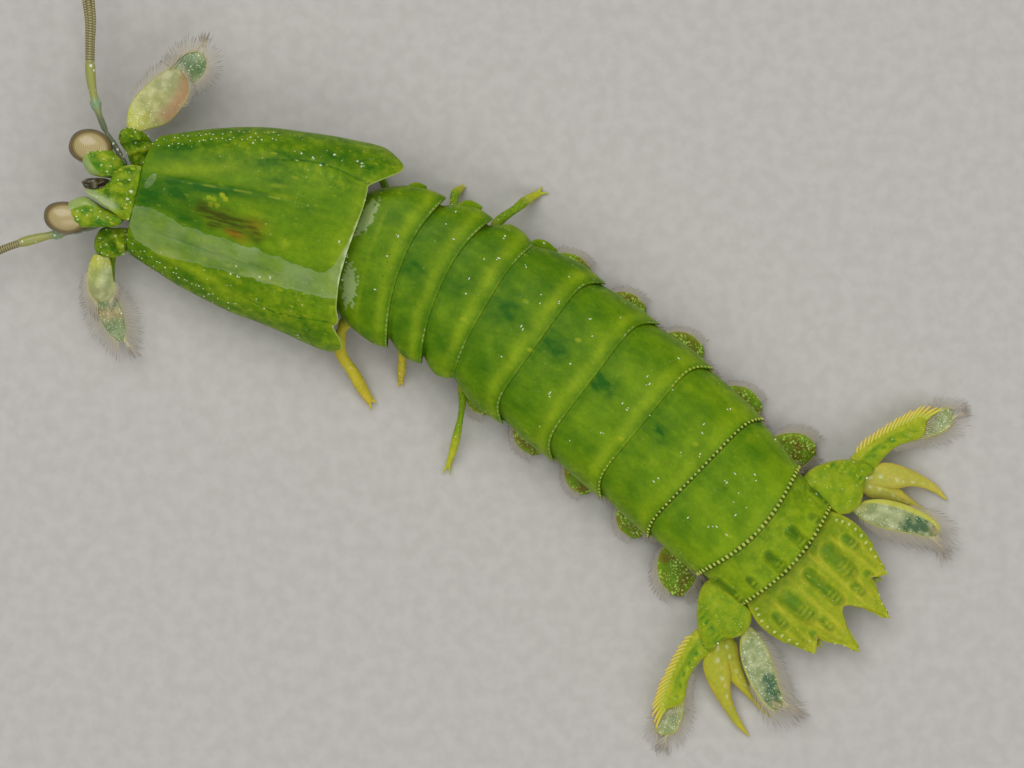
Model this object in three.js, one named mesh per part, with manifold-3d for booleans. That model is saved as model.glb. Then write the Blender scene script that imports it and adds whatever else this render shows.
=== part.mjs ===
// A bright green mantis shrimp at life size, lying on the floor with its body bent to one side.
// Lengths are in millimetres and angles in degrees.
// Every piece is first drawn on a straight animal: s runs backwards from the front edge of the
// carapace, y to the animal's right and z up from the floor. Then the body's bend carries it over.

import * as THREE from "three";
import { mergeVertices } from "three/addons/utils/BufferGeometryUtils.js";
import Module from "manifold-3d";

const wasm = await Module();
wasm.setup();

// The gap between neighbouring pieces, and the smallest step in a surface that is kept
const GAP = 0.3;
const SMALLEST_STEP = 0.012;

// Heading of the body's middle line at distances behind the carapace's front edge
const HEADINGS = [
  [-20, -13.5],
  [8, -13.5],
  [20, -18],
  [24.6, -23.7],
  [28.2, -29],
  [32.7, -35.5],
  [43, -38],
  [48.5, -43],
  [53.5, -45.5],
  [58.2, -42],
  [80, -42],
];
const AXIS_START = -20;
const AXIS_END = 80;
const AXIS_STEP = 0.25;

// The front of the body leans on its left side, and the lean fades along the thorax
const ROLL = [
  [-20, 10],
  [14, 10],
  [31, 0],
];
const ROLL_HEIGHT = 7;
// Share of that lean in the eyes, feelers and antennal scales
const HEAD_LIMB_ROLL = 0.5;

// The middle of the footprint, measured from the front edge of the carapace
const FOOTPRINT_MIDDLE = { x: 22.8, y: -11.0 };

// The carapace
const CARAPACE_WALL = 0.8;
const CARAPACE_HALF_WIDTH = [
  [-0.4, 4.35],
  [0.1, 4.8],
  [1.1, 5.25],
  [2.95, 5.95],
  [4.8, 6.6],
  [8.4, 7.5],
  [12, 7.95],
  [15.7, 8.4],
  [17.5, 8.5],
  [19.4, 8.3],
];
const CARAPACE_CROWN = [
  [-0.5, 7.3],
  [1.5, 7.7],
  [5, 8.2],
  [12, 8.8],
  [19, 8.8],
];
const CARAPACE_WIDEST_HEIGHT = [
  [-0.5, 5.3],
  [6, 4.7],
  [19, 4.5],
];
// How far back the rear edge lies, by the share of the way from the crown to the side edge
const CARAPACE_REAR = [
  [0, 17.0],
  [0.11, 17.0],
  [0.25, 17.2],
  [0.35, 17.35],
  [0.386, 17.5],
  [0.434, 17.95],
  [0.506, 18.7],
  [0.607, 19.3],
  [0.678, 19.3],
  [0.75, 18.95],
  [0.9, 17.9],
  [1, 17.0],
];
// The rear edge lies further back on the inside of the body's bend
const CARAPACE_REAR_SKEW = 0.8;
const CARAPACE_FRONT = [
  [0, -0.4],
  [0.45, -0.35],
  [0.8, 0.1],
  [1, 0.8],
];
const CARAPACE_TURN = 100;
const CARAPACE_SQUARENESS = 2.3;
const CARAPACE_COLUMNS = 32;
const CARAPACE_ROWS = 12;
// Columns of the grid, counted from the crown, on which the grooves and side ridges run
const GROOVE_COLUMN = 3;
const GROOVE_DEPTH = 0.3;
const RIDGE_COLUMN = 7;
const RIDGE_HEIGHT = 0.15;

// The rings behind the carapace. rear is the middle of the rear edge; widths are the half widths
// in front and at the rear corner, with the bow between them; heights are crown and lower edge;
// sweep carries the corners of the rear edge back: how far and how sharply
const RINGS = [
  { name: "thorax_somite_6", rear: 21.55, widths: [4.4, 6.45], bow: 0.35, heights: [7.9, 4.3], sweep: [1.3, 2.2] },
  { name: "thorax_somite_7", rear: 25.1, widths: [5.75, 6.45], bow: 0.35, heights: [8.0, 4.2], sweep: [1.3, 2.4] },
  { name: "thorax_somite_8", rear: 29.0, widths: [5.85, 6.15], bow: 0.65, heights: [8.1, 4.0], sweep: [0.75, 3] },
  { name: "abdomen_somite_1", rear: 34.1, widths: [6.15, 6.95], bow: 0.35, heights: [8.3, 2.7], sweep: [1.55, 9] },
  { name: "abdomen_somite_2", rear: 39.3, widths: [6.7, 6.95], bow: 0.1, heights: [8.4, 2.6], sweep: [1.6, 9] },
  { name: "abdomen_somite_3", rear: 44.65, widths: [6.7, 6.85], bow: 0.1, heights: [8.4, 2.6], sweep: [1.5, 9] },
  { name: "abdomen_somite_4", rear: 50.6, widths: [6.6, 6.6], bow: 0.08, heights: [8.2, 2.6], sweep: [0.85, 9] },
  { name: "abdomen_somite_5", rear: 56.1, widths: [6.35, 5.95], bow: 0.1, heights: [7.8, 2.8], sweep: [0.2, 9] },
  { name: "abdomen_somite_6", rear: 60.3, widths: [5.6, 5.3], bow: 0.02, heights: [6.9, 3.2], sweep: [0.1, 9] },
];
// How far the middle of the rear edge bulges back
const RING_BULGE = { abdomen_somite_5: 1.3, abdomen_somite_6: 0.9 };
const FIRST_RING_FRONT = 16.7;
const FIRST_RING_FRONT_CROWN = 7.2;
const RING_STEP_DOWN = 0.35;
// Height of the widest point of a ring's section, as a share of the way from hem to crown
const RING_WIDEST = 0.3;
const RING_SQUARENESS = 2.4;
const RING_COLUMNS = 18;
const RING_ROWS = 5;
// How far the underside is drawn in at the front and at the rear of a ring
const RING_TUCK = [0.3, 0.15];
// Underside of a ring's section: share of the half width and of the height above the hem
const RING_UNDERSIDE = [
  [0, 0.11],
  [0.4, 0.11],
  [0.74, 0.15],
  [0.86, 0.01],
  [0.93, 0],
  [1, 0.12],
];

// The telson
const TELSON = { front: 60.62, halfWidth: 5.3, fall: 1.6, thickness: [2.2, 0.75], thinning: 0.45, rows: 7, columns: 20 };
// How far back its rear edge lies, by the share of the half width
const TELSON_REAR = [
  [0, 66.4],
  [0.08, 66.8],
  [0.17, 67.6],
  [0.26, 68.6],
  [0.36, 69.0],
  [0.45, 68.2],
  [0.52, 67.3],
  [0.6, 66.7],
  [0.7, 66.8],
  [0.8, 66.7],
  [0.9, 65.8],
  [1, 64.6],
];
const TELSON_SIDE = [
  [60.9, 0.97],
  [62.2, 1.06],
  [63.6, 1.05],
  [66, 0.96],
  [70, 0.92],
];
const TELSON_TEETH = [
  { root: [62.9, 4.7], tip: [64.75, 5.45], width: 0.55 },
  { root: [65.0, 3.9], tip: [67.3, 4.35], width: 0.65 },
  { root: [67.2, 2.2], tip: [70.0, 1.92], width: 0.75 },
];
const TELSON_CROWN = [
  [60.9, 6.2],
  [64, 4.9],
  [67, 3.3],
  [70, 1.9],
];
const TELSON_DENTICLES = { between: [[67.5, 2.6], [66.7, 3.3]], count: 3, length: 0.45, width: 0.2 };
const TELSON_INNER_DENTICLES = { between: [[67.1, 0.5], [68.7, 1.4]], count: 4, length: 0.25, width: 0.16 };
const TELSON_BOSSES = [
  { at: [62.9, 2.0], size: [1.0, 0.45, 0.4] },
  { at: [65.1, 2.0], size: [1.1, 0.45, 0.4] },
  { at: [63.2, 3.7], size: [1.0, 0.4, 0.35] },
];
const TELSON_KEEL = { from: 62.1, to: 65.7, halfWidth: 0.5, height: 0.5 };

// The tail fan, drawn for the right side
const UROPOD_BASE = [
  { at: [59.3, 5.85, 4.0], across: [2.0, -0.1, 0], up: [0, 0.15, 0.95] },
  { at: [59.95, 7.1, 3.5], across: [1.85, -0.9, 0], up: [0, 0.2, 0.95] },
  { at: [60.45, 8.0, 3.0], across: [1.55, -1.2, 0], up: [0, 0.2, 0.85] },
  { at: [61.1, 8.45, 2.6], across: [0.8, -1.3, 0], up: [0, 0.2, 0.75] },
];
const OUTER_PRONG = {
  right: [[60.9, 8.6, 2.4], [62.0, 10.2, 1.9], [63.3, 11.0, 1.5], [64.5, 11.45, 1.0], [66.8, 11.93, 0.05]],
  left: [[60.9, 8.8, 2.4], [62.3, 10.7, 1.9], [63.9, 11.65, 1.4], [65.2, 12.1, 0.95], [67.75, 12.79, 0.05]],
  girths: [[0, 0.9, 0.6], [0.35, 0.95, 0.6], [0.6, 0.62, 0.45], [1, 0.06, 0.06]],
};
const INNER_PRONG = {
  right: [[61.2, 8.2, 2.2], [62.6, 9.1, 1.5], [64.2, 9.45, 1.05], [65.8, 9.8, 0.55], [67.65, 10.1, 0.05]],
  left: [[61.2, 8.3, 2.2], [62.8, 9.5, 1.5], [64.4, 9.95, 1.05], [66.0, 10.3, 0.55], [67.5, 10.44, 0.05]],
  girths: [[0, 0.8, 0.5], [0.25, 0.8, 0.5], [0.6, 0.5, 0.4], [1, 0.06, 0.06]],
};
const EXOPOD = {
  path: [[60.1, 10.15, 2.6], [59.85, 11.4, 2.2], [60.1, 13.0, 1.6], [60.75, 14.65, 1.0]],
  girths: [[0, 0.75, 0.6], [0.3, 0.95, 0.6], [0.7, 1.0, 0.5], [1, 0.75, 0.4]],
};
const EXOPOD_JOINT_GAP = 0.5;
const EXOPOD_SPINES = { count: 14, first: 0.08, last: 0.95, length: [0.55, 1.7], width: 0.2, splay: [50, 14] };
const PADDLE = {
  path: [[61.2, 15.0, 0.75], [61.75, 15.9, 0.4], [62.2, 16.9, 0.24], [62.5, 17.6, 0.18]],
  girths: [[0, 0.5, 0.3], [0.3, 1.0, 0.32], [0.65, 1.05, 0.3], [1, 0.35, 0.25]],
};
const ENDOPOD = {
  path: [
    [61.75, 6.5, 3.0], [62.8, 7.15, 2.75], [64.0, 7.75, 2.45],
    [65.3, 8.35, 2.1], [66.8, 9.05, 1.7], [68.2, 9.5, 1.3],
  ],
  girths: [
    [0, 0.35, 0.28], [0.2, 0.95, 0.3], [0.5, 1.2, 0.3],
    [0.75, 0.9, 0.3], [0.92, 0.5, 0.27], [1, 0.2, 0.2],
  ],
};

// The head
const HEAD_CORE = [
  { at: [-2.7, -0.15, 5.6], across: [0, 0.9, 0], up: [0, 0, 0.4] },
  { at: [-2.0, -0.1, 5.5], across: [0, 1.7, 0], up: [0, 0, 0.65] },
  { at: [0, 0, 5.2], across: [0, 2.5, 0], up: [0, 0, 0.95] },
  { at: [2, 0, 5.0], across: [0, 2.9, 0], up: [0, 0, 1.5] },
  { at: [7, 0, 5.1], across: [0, 3.2, 0], up: [0, 0, 2.0] },
  { at: [12, 0, 5.4], across: [0, 3.3, 0], up: [0, 0, 2.1] },
  { at: [16.4, 0, 5.6], across: [0, 3.7, 0], up: [0, 0, 1.6] },
];
const ROSTRUM = {
  base: -0.75, tip: -4.65, lean: 0.1, top: 7.2, drop: 0.07, arch: 0.35, thickness: 0.6, rows: 9, columns: 6,
};
const ROSTRUM_HALF_WIDTH = [
  [-4.65, 0.07],
  [-3.4, 0.2],
  [-3.0, 0.42],
  [-2.7, 0.75],
  [-2.2, 1.25],
  [-1.4, 1.75],
  [-0.75, 2.1],
];

// The four corners of each eye stalk seen from above: inner and outer end of its root, then of
// the edge that carries the cornea
const EYES = {
  right: { root: [[-4.2, 1.0], [-2.2, 2.3]], rim: [[-6.3, 3.05], [-3.4, 3.2]] },
  left: { root: [[-4.2, -0.95], [-2.4, -2.75]], rim: [[-6.35, -2.05], [-3.7, -3.25]] },
};
const EYE_HEIGHT = 6.1;
const EYE_STALK_THICKNESS = [0.5, 0.75];
const CORNEA = { reach: 0.55, halfBulge: 0.88, halfHeight: 1.15, overhang: 0.25, curve: 0.25 };

const ANTENNULES = {
  right: {
    stem: [[-2.0, 2.0, 4.6], [-2.9, 3.4, 4.5], [-3.8, 4.6, 4.5], [-4.9, 6.3, 4.6], [-6.15, 9.1, 4.5]],
    whip: [[-6.1, 9.0, 4.5], [-6.7, 10.9, 4.4], [-7.2, 12.6, 4.3], [-8.0, 15.0, 4.0], [-8.7, 19.0, 3.4]],
  },
  left: {
    stem: [[-2.0, -2.0, 4.6], [-3.2, -3.3, 4.4], [-5.5, -4.35, 4.2], [-7.3, -5.2, 4.0], [-8.7, -6.0, 3.8]],
    whip: [[-8.6, -5.95, 3.8], [-9.9, -6.8, 3.6], [-11.3, -8.0, 3.3], [-12.6, -9.4, 3.0], [-14.6, -12.4, 2.4]],
  },
};
const ANTENNULE_GIRTHS = [
  [0, 0.42, 0.42], [0.3, 0.36, 0.36], [0.55, 0.3, 0.3],
  [0.6, 0.46, 0.42], [0.66, 0.36, 0.34], [1, 0.42, 0.4],
];
const WHIP_SPREAD = [-0.3, 0, 0.3];
const WHIP_GIRTHS = [[0, 0.27, 0.27], [0.5, 0.24, 0.24], [1, 0.09, 0.09]];

const ANTENNAE = {
  right: {
    base: [[-0.6, 3.3, 4.4], [-1.5, 4.1, 4.5], [-2.3, 4.7, 4.5], [-2.2, 5.4, 4.4]],
    feeler: [[-1.7, 4.7, 3.9], [-2.0, 6.2, 3.3], [-1.4, 8.4, 2.9], [0.6, 11.2, 2.4]],
    scale: [[-2.15, 5.8, 4.3], [-1.3, 7.3, 4.3], [0.2, 9.3, 4.1], [1.3, 10.9, 3.9], [2.15, 12.1, 3.7]],
    tilt: 0,
  },
  left: {
    base: [[-0.3, -3.2, 4.2], [-0.9, -3.8, 4.2], [-1.4, -4.4, 4.1], [-1.4, -4.7, 4.0]],
    feeler: [[-1.1, -4.3, 3.5], [-1.2, -5.7, 2.8], [-0.7, -7.8, 2.2], [0.4, -10.4, 1.7]],
    scale: [[-1.4, -5.1, 4.0], [-1.0, -6.6, 3.8], [-0.3, -8.5, 3.5], [0.5, -10.4, 3.2], [1.15, -11.7, 3.0]],
    tilt: 45,
  },
};
const ANTENNA_GIRTHS = [[0, 0.8, 0.6], [0.4, 0.95, 0.65], [0.8, 0.8, 0.55], [1, 0.5, 0.4]];
const FEELER_GIRTHS = [[0, 0.35, 0.35], [0.4, 0.3, 0.3], [1, 0.1, 0.1]];
const SCALE_GIRTHS = [
  [0, 0.4, 0.3], [0.12, 0.85, 0.3], [0.3, 1.5, 0.28], [0.5, 1.72, 0.27],
  [0.66, 1.6, 0.26], [0.76, 1.25, 0.26], [0.9, 1.05, 0.25], [1, 0.4, 0.22],
];

// The carapace leans over the left claw, whose upper arm lies further in
const CLAW_INSET = { right: 0, left: 0.5 };
// The folded claws, the small clubbed feeding limbs and the walking legs, drawn for one side
const CLAW_UPPER_ARM = {
  path: [[14.2, 4.9, 4.7], [9.5, 5.1, 4.5], [5.2, 4.4, 4.1], [2.4, 3.7, 3.7]],
  girths: [[0, 0.7, 0.8], [0.3, 1.15, 1.25], [0.65, 1.05, 1.15], [1, 0.6, 0.7]],
};
const CLAW_HAND = {
  path: [[2.0, 3.75, 3.1], [1.1, 3.75, 2.2], [2.2, 4.0, 1.5], [6.5, 4.9, 1.5], [12.2, 5.2, 1.6]],
  girths: [[0, 0.5, 0.4], [0.12, 0.8, 0.7], [0.35, 0.9, 0.95], [0.7, 0.85, 0.9], [1, 0.45, 0.5]],
};
const CLAW_FINGER = {
  path: [[12.4, 4.1, 1.6], [11.3, 3.4, 1.6], [8.0, 3.1, 1.5], [5.0, 2.9, 1.5], [3.0, 2.75, 1.5]],
  girths: [[0, 0.45, 0.45], [0.3, 0.42, 0.45], [0.8, 0.3, 0.3], [1, 0.06, 0.06]],
};
const CLAW_TEETH = { count: 6, first: 0.25, last: 0.85, length: 0.4, width: 0.14 };
const FEEDING_LIMBS = {
  count: 3, first: 13.2, spacing: 3.3, root: [2.4, 2.6], elbow: [1.2, 1.8], fold: 3.1, club: 0.9,
  girths: [[0, 0.45, 0.45], [0.5, 0.35, 0.35], [0.72, 0.42, 0.42], [0.88, 0.8, 0.5], [1, 0.4, 0.3]],
};
const LEGS = {
  right_1: [[20.3, 3.0, 3.5], [18.9, 5.2, 3.1], [17.9, 6.4, 2.2], [17.7, 7.1, 0.1]],
  right_2: [[24.4, 3.0, 3.4], [23.7, 5.6, 3.0], [23.3, 7.1, 1.8], [23.5, 7.8, 0.1]],
  right_3: [[28.0, 3.0, 3.3], [26.7, 5.8, 3.1], [27.5, 8.3, 2.5], [28.7, 10.4, 0.9], [29.4, 11.0, 0.1]],
  left_1: [
    [20.3, -3.0, 3.4], [18.5, -5.8, 2.6], [18.8, -7.7, 2.3],
    [21.2, -9.6, 1.6], [23.2, -11.0, 0.5], [23.9, -11.4, 0.1],
  ],
  left_2: [[24.4, -3.0, 3.4], [24.2, -5.7, 3.0], [25.0, -7.4, 1.9], [25.8, -9.0, 0.1]],
  left_3: [[28.0, -3.0, 3.0], [30.0, -5.6, 2.4], [31.9, -7.7, 2.2], [33.3, -10.4, 1.2], [34.0, -12.3, 0.1]],
};
const LEG_GIRTHS = [[0, 0.5, 0.5], [0.3, 0.42, 0.42], [0.6, 0.36, 0.36], [0.8, 0.42, 0.42], [1, 0.28, 0.28]];
const FOOT_CLAWS = { length: 0.9, width: 0.14, splay: 28 };

// The swimming flaps under the first five rings of the abdomen, drawn for one side
const FLAP = {
  count: 5,
  firstRing: 3,
  lead: 3.2,
  path: [[0, 3.2, 2.5], [0.7, 4.3, 2.0], [2.0, 5.8, 1.3], [3.2, 6.6, 0.7]],
  girths: [[0, 0.6, 0.3], [0.25, 1.1, 0.3], [0.6, 1.55, 0.28], [0.85, 1.2, 0.27], [1, 0.5, 0.25]],
};

const FINISHES = {
  green_shell: { color: 0x6b9a10, roughness: 0.3, metalness: 0 },
  yellow_green_shell: { color: 0xa3ad1d, roughness: 0.35, metalness: 0 },
  clear_blade: { color: 0x8fa57a, roughness: 0.3, metalness: 0 },
  cornea: { color: 0xc7a565, roughness: 0.15, metalness: 0 },
  pale_limb: { color: 0xa9ad72, roughness: 0.4, metalness: 0 },
};

// Value of a smooth curve through stops of [place, value]
function along(stops, place) {
  const last = stops.length - 1;
  if (place <= stops[0][0]) return stops[0][1];
  if (place >= stops[last][0]) return stops[last][1];
  let i = 0;
  while (place > stops[i + 1][0]) i++;
  const slope = (a, b) => (stops[b][1] - stops[a][1]) / (stops[b][0] - stops[a][0]);
  const here = slope(i, i + 1);
  const before = i > 0 ? (slope(i - 1, i) + here) / 2 : here;
  const after = i + 2 <= last ? (here + slope(i + 1, i + 2)) / 2 : here;
  const span = stops[i + 1][0] - stops[i][0];
  const t = (place - stops[i][0]) / span;
  const rise = stops[i + 1][1] - stops[i][1];
  const ease = t * t * (3 - 2 * t);
  return stops[i][1] + rise * ease + span * t * (1 - t) * (before * (1 - t) - after * t);
}

// Values of straight stretches through stops of [place, value, value...]
function between(stops, place) {
  let i = 0;
  while (i < stops.length - 2 && place > stops[i + 1][0]) i++;
  const share = (place - stops[i][0]) / (stops[i + 1][0] - stops[i][0]);
  const clamped = THREE.MathUtils.clamp(share, 0, 1);
  return stops[i].slice(1).map((value, k) => THREE.MathUtils.lerp(value, stops[i + 1][k + 1], clamped));
}

const vector = (values) => new THREE.Vector3(...values);
const onSide = (values, side) => [values[0], values[1] * side, ...values.slice(2)];
const sideName = (side) => (side > 0 ? "right" : "left");
const radians = THREE.MathUtils.degToRad;

// The bent middle line of the body, walked in short steps of constant heading
function bodyAxis() {
  const points = [];
  let x = 0;
  let y = 0;
  for (let s = AXIS_START; s <= AXIS_END; s += AXIS_STEP) {
    const heading = radians(between(HEADINGS, s)[0]);
    points.push([s, x, y, heading]);
    x += AXIS_STEP * Math.cos(heading);
    y += AXIS_STEP * Math.sin(heading);
  }
  const [originX, originY] = between(points, 0);
  return points.map(([s, px, py, heading]) => [s, px - originX, py - originY, heading]);
}
const AXIS = bodyAxis();

// Carries a point of the straight animal to its place on the bent one
function bend(point, rollShare) {
  const step = Math.floor((point.x - AXIS_START) / AXIS_STEP);
  const [x, y, heading] = between(AXIS.slice(step, step + 2), point.x);
  const roll = radians(between(ROLL, point.x)[0]) * rollShare;
  const height = point.z - ROLL_HEIGHT;
  const sideways = point.y * Math.cos(roll) - height * Math.sin(roll);
  const z = ROLL_HEIGHT + height * Math.cos(roll) + point.y * Math.sin(roll);
  point.x = x - Math.sin(heading) * sideways - FOOTPRINT_MIDDLE.x;
  point.y = y + Math.cos(heading) * sideways - FOOTPRINT_MIDDLE.y;
  point.z = rollShare > 0 ? z : ROLL_HEIGHT + height;
}

// A closed three.js shape whose corners are moved by place(point)
function moved(geometry, place) {
  geometry.deleteAttribute("normal");
  geometry.deleteAttribute("uv");
  const merged = mergeVertices(geometry, 1e-4);
  const position = merged.getAttribute("position");
  const point = new THREE.Vector3();
  for (let i = 0; i < position.count; i++) {
    point.fromBufferAttribute(position, i);
    place(point);
    position.setXYZ(i, point.x, point.y, point.z);
  }
  return merged;
}

function signedVolume(position, corners) {
  const [a, b, c] = [new THREE.Vector3(), new THREE.Vector3(), new THREE.Vector3()];
  let total = 0;
  for (let i = 0; i < corners.length; i += 3) {
    a.fromBufferAttribute(position, corners[i]);
    b.fromBufferAttribute(position, corners[i + 1]);
    c.fromBufferAttribute(position, corners[i + 2]);
    total += a.dot(b.cross(c)) / 6;
  }
  return total;
}

// A solid for joining and cutting, turned right side out where mirroring turned it inside out
function solidOf(geometry) {
  const position = geometry.getAttribute("position");
  const corners = Uint32Array.from(geometry.index.array);
  if (signedVolume(position, corners) < 0) {
    for (let i = 0; i < corners.length; i += 3) {
      [corners[i], corners[i + 1]] = [corners[i + 1], corners[i]];
    }
  }
  const vertProperties = Float32Array.from(position.array);
  return new wasm.Manifold(new wasm.Mesh({ numProp: 3, vertProperties, triVerts: corners }));
}

function geometryOf(solid) {
  const mesh = solid.getMesh();
  const geometry = new THREE.BufferGeometry();
  geometry.setAttribute("position", new THREE.BufferAttribute(mesh.vertProperties, 3));
  geometry.setIndex(new THREE.BufferAttribute(mesh.triVerts, 1));
  return geometry;
}

// Joins solids into one and keeps its largest closed surface
function joined(solids) {
  const whole = solids.reduce((sum, solid) => sum.add(solid));
  return largest(whole);
}

function largest(solid) {
  const bodies = solid.decompose();
  return bodies.reduce((best, body) => (body.volume() > best.volume() ? body : best));
}

const bulged = (value, squareness) => Math.sign(value) * Math.abs(value) ** (2 / squareness);

// A solid through oval sections, each given by its middle and its two half axes
function loft(stations, sides = 8, squareness = 2) {
  const rows = stations.length - 1;
  const drum = new THREE.CylinderGeometry(1, 1, 1, sides, rows);
  const geometry = moved(drum, (point) => {
    const station = stations[Math.round((0.5 - point.y) * rows)];
    const across = bulged(point.x, squareness);
    const up = bulged(point.z, squareness);
    point.copy(station.at).addScaledVector(station.across, across).addScaledVector(station.up, up);
  });
  return solidOf(geometry);
}

// Sections written as plain numbers, set on one side of the body
function sections(rows, side = 1) {
  return rows.map(({ at, across, up }) => ({
    at: vector(onSide(at, side)),
    across: vector(onSide(across, side)),
    up: vector(onSide(up, side)),
  }));
}

// Oval sections along a smooth path; girths are [share of the path, half width, half height], and
// tilt turns the width out of the level
function pathSections(path, girths, steps, side = 1, tilt = 0) {
  const curve = new THREE.CatmullRomCurve3(path.map((point) => vector(onSide(point, side))));
  const stations = [];
  for (let i = 0; i <= steps; i++) {
    const share = i / steps;
    const tangent = curve.getTangentAt(share);
    const level = new THREE.Vector3(0, 0, 1).cross(tangent).normalize();
    const across = level.applyAxisAngle(tangent, radians(tilt) * side);
    const up = tangent.clone().cross(across);
    const [halfWidth, halfHeight] = between(girths, share);
    stations.push({
      at: curve.getPointAt(share),
      across: across.multiplyScalar(halfWidth),
      up: up.multiplyScalar(halfHeight),
      tangent,
    });
  }
  return stations;
}

const limb = (path, girths, steps, side, sides = 8) => loft(pathSections(path, girths, steps, side), sides);

// The same sections with all faces moved out by the gap, to cut a neighbour clear
function widened(stations, gap = GAP) {
  const last = stations.length - 1;
  return stations.map(({ at, across, up }, i) => {
    const ahead = stations[Math.min(i + 1, last)].at.clone().sub(stations[Math.max(i - 1, 0)].at).normalize();
    const push = i === 0 ? -gap : i === last ? gap : 0;
    return {
      at: at.clone().addScaledVector(ahead, push),
      across: across.clone().setLength(across.length() + gap),
      up: up.clone().setLength(up.length() + gap),
    };
  });
}

// A slender pointed spine from root to tip
function spine(root, tip, width, sides = 5) {
  const cone = new THREE.ConeGeometry(1, 1, sides);
  const reach = tip.clone().sub(root);
  const turn = new THREE.Quaternion().setFromUnitVectors(new THREE.Vector3(0, 1, 0), reach.clone().normalize());
  const geometry = moved(cone, (point) => {
    const share = point.y + 0.5;
    point.set(point.x * width, share * reach.length(), point.z * width).applyQuaternion(turn).add(root);
  });
  return solidOf(geometry);
}

function ball(at, size, around = 8, rows = 6) {
  const sphere = new THREE.SphereGeometry(1, around, rows);
  return solidOf(moved(sphere, (point) => point.multiply(vector(size)).add(at)));
}

// A plate on a grid: place(u, v, face) with u from -1 to 1 across, v from 0 to 1 along, and face 0
// below or 1 above
function plate(columns, rows, place) {
  const box = new THREE.BoxGeometry(2, 1, 1, columns, rows, 1);
  return solidOf(moved(box, (point) => point.copy(place(point.x, point.y + 0.5, point.z + 0.5))));
}

const model = new THREE.Group();

// Bends a finished solid onto the body and hangs it in the group at the middle of its root
function addNode(name, solid, finish, rollShare = 1) {
  const geometry = geometryOf(solid.simplify(SMALLEST_STEP));
  const position = geometry.getAttribute("position");
  const point = new THREE.Vector3();
  for (let i = 0; i < position.count; i++) {
    point.fromBufferAttribute(position, i);
    bend(point, rollShare);
    position.setXYZ(i, point.x, point.y, point.z);
  }
  const mesh = new THREE.Mesh(geometry, new THREE.MeshStandardMaterial(FINISHES[finish]));
  mesh.name = name;
  model.add(mesh);
}

// The carapace is a vaulted shield, open below, with two grooves and two side ridges
function carapace() {
  const half = CARAPACE_COLUMNS / 2;
  return plate(CARAPACE_COLUMNS, CARAPACE_ROWS, (u, v, face) => {
    const share = Math.abs(u);
    const rear = along(CARAPACE_REAR, share) - CARAPACE_REAR_SKEW * u * (1 - share * share);
    const s = THREE.MathUtils.lerp(along(CARAPACE_FRONT, share), rear, v);
    const wall = face > 0.5 ? 0 : CARAPACE_WALL;
    const column = Math.round(share * half);
    const midway = Math.sin(Math.PI * THREE.MathUtils.clamp((v - 0.08) / 0.8, 0, 1));
    let relief = 0;
    if (column === GROOVE_COLUMN) relief = -GROOVE_DEPTH * midway;
    if (column === RIDGE_COLUMN) relief = RIDGE_HEIGHT * midway;
    const angle = radians(CARAPACE_TURN) * u;
    const widest = along(CARAPACE_WIDEST_HEIGHT, s);
    const halfWidth = along(CARAPACE_HALF_WIDTH, s) - wall;
    const rise = along(CARAPACE_CROWN, s) - widest - wall + relief;
    const y = halfWidth * bulged(Math.sin(angle), CARAPACE_SQUARENESS);
    const z = widest + rise * bulged(Math.cos(angle), CARAPACE_SQUARENESS);
    return new THREE.Vector3(s, y, z);
  });
}

// The rear edge of a ring at a share of its half width
function ringRear({ name, rear, sweep }, share) {
  const bulge = RING_BULGE[name] ?? 0;
  return rear + bulge * (1 - share ** 2) + sweep[0] * Math.abs(share) ** sweep[1];
}

// A ring of the body, a little lower and narrower in front, where it slips under the one before
function ringSolid(index) {
  const ring = RINGS[index];
  const before = RINGS[index - 1];
  const [rearCrown, rearHem] = ring.heights;
  const frontCrown = before ? before.heights[0] - RING_STEP_DOWN : FIRST_RING_FRONT_CROWN;
  const frontHem = before ? Math.max(before.heights[1], rearHem) : rearHem;
  return plate(RING_COLUMNS, RING_ROWS, (u, v, face) => {
    const angle = (Math.PI / 2) * u;
    const share = bulged(Math.sin(angle), RING_SQUARENESS);
    const vault = RING_WIDEST + (1 - RING_WIDEST) * bulged(Math.cos(angle), RING_SQUARENESS);
    const [underside] = between(RING_UNDERSIDE, Math.abs(share));
    const level = face > 0.5 ? vault : underside;
    const front = before ? ringRear(before, share) + GAP : FIRST_RING_FRONT;
    const tuck = Math.max(0, 1 - level / RING_WIDEST);
    const s = THREE.MathUtils.lerp(front + RING_TUCK[0] * tuck, ringRear(ring, share) - RING_TUCK[1] * tuck, v);
    const swell = Math.sin((Math.PI / 2) * v);
    const halfWidth = THREE.MathUtils.lerp(...ring.widths, swell) + ring.bow * Math.sin(Math.PI * v);
    const crown = THREE.MathUtils.lerp(frontCrown, rearCrown, swell);
    const hem = THREE.MathUtils.lerp(frontHem, rearHem, Math.min(1, 3 * v));
    return new THREE.Vector3(s, share * halfWidth, hem + level * (crown - hem));
  });
}

const telsonTop = (s, y) => along(TELSON_CROWN, s) - TELSON.fall * (y / TELSON.halfWidth) ** 2;

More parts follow.
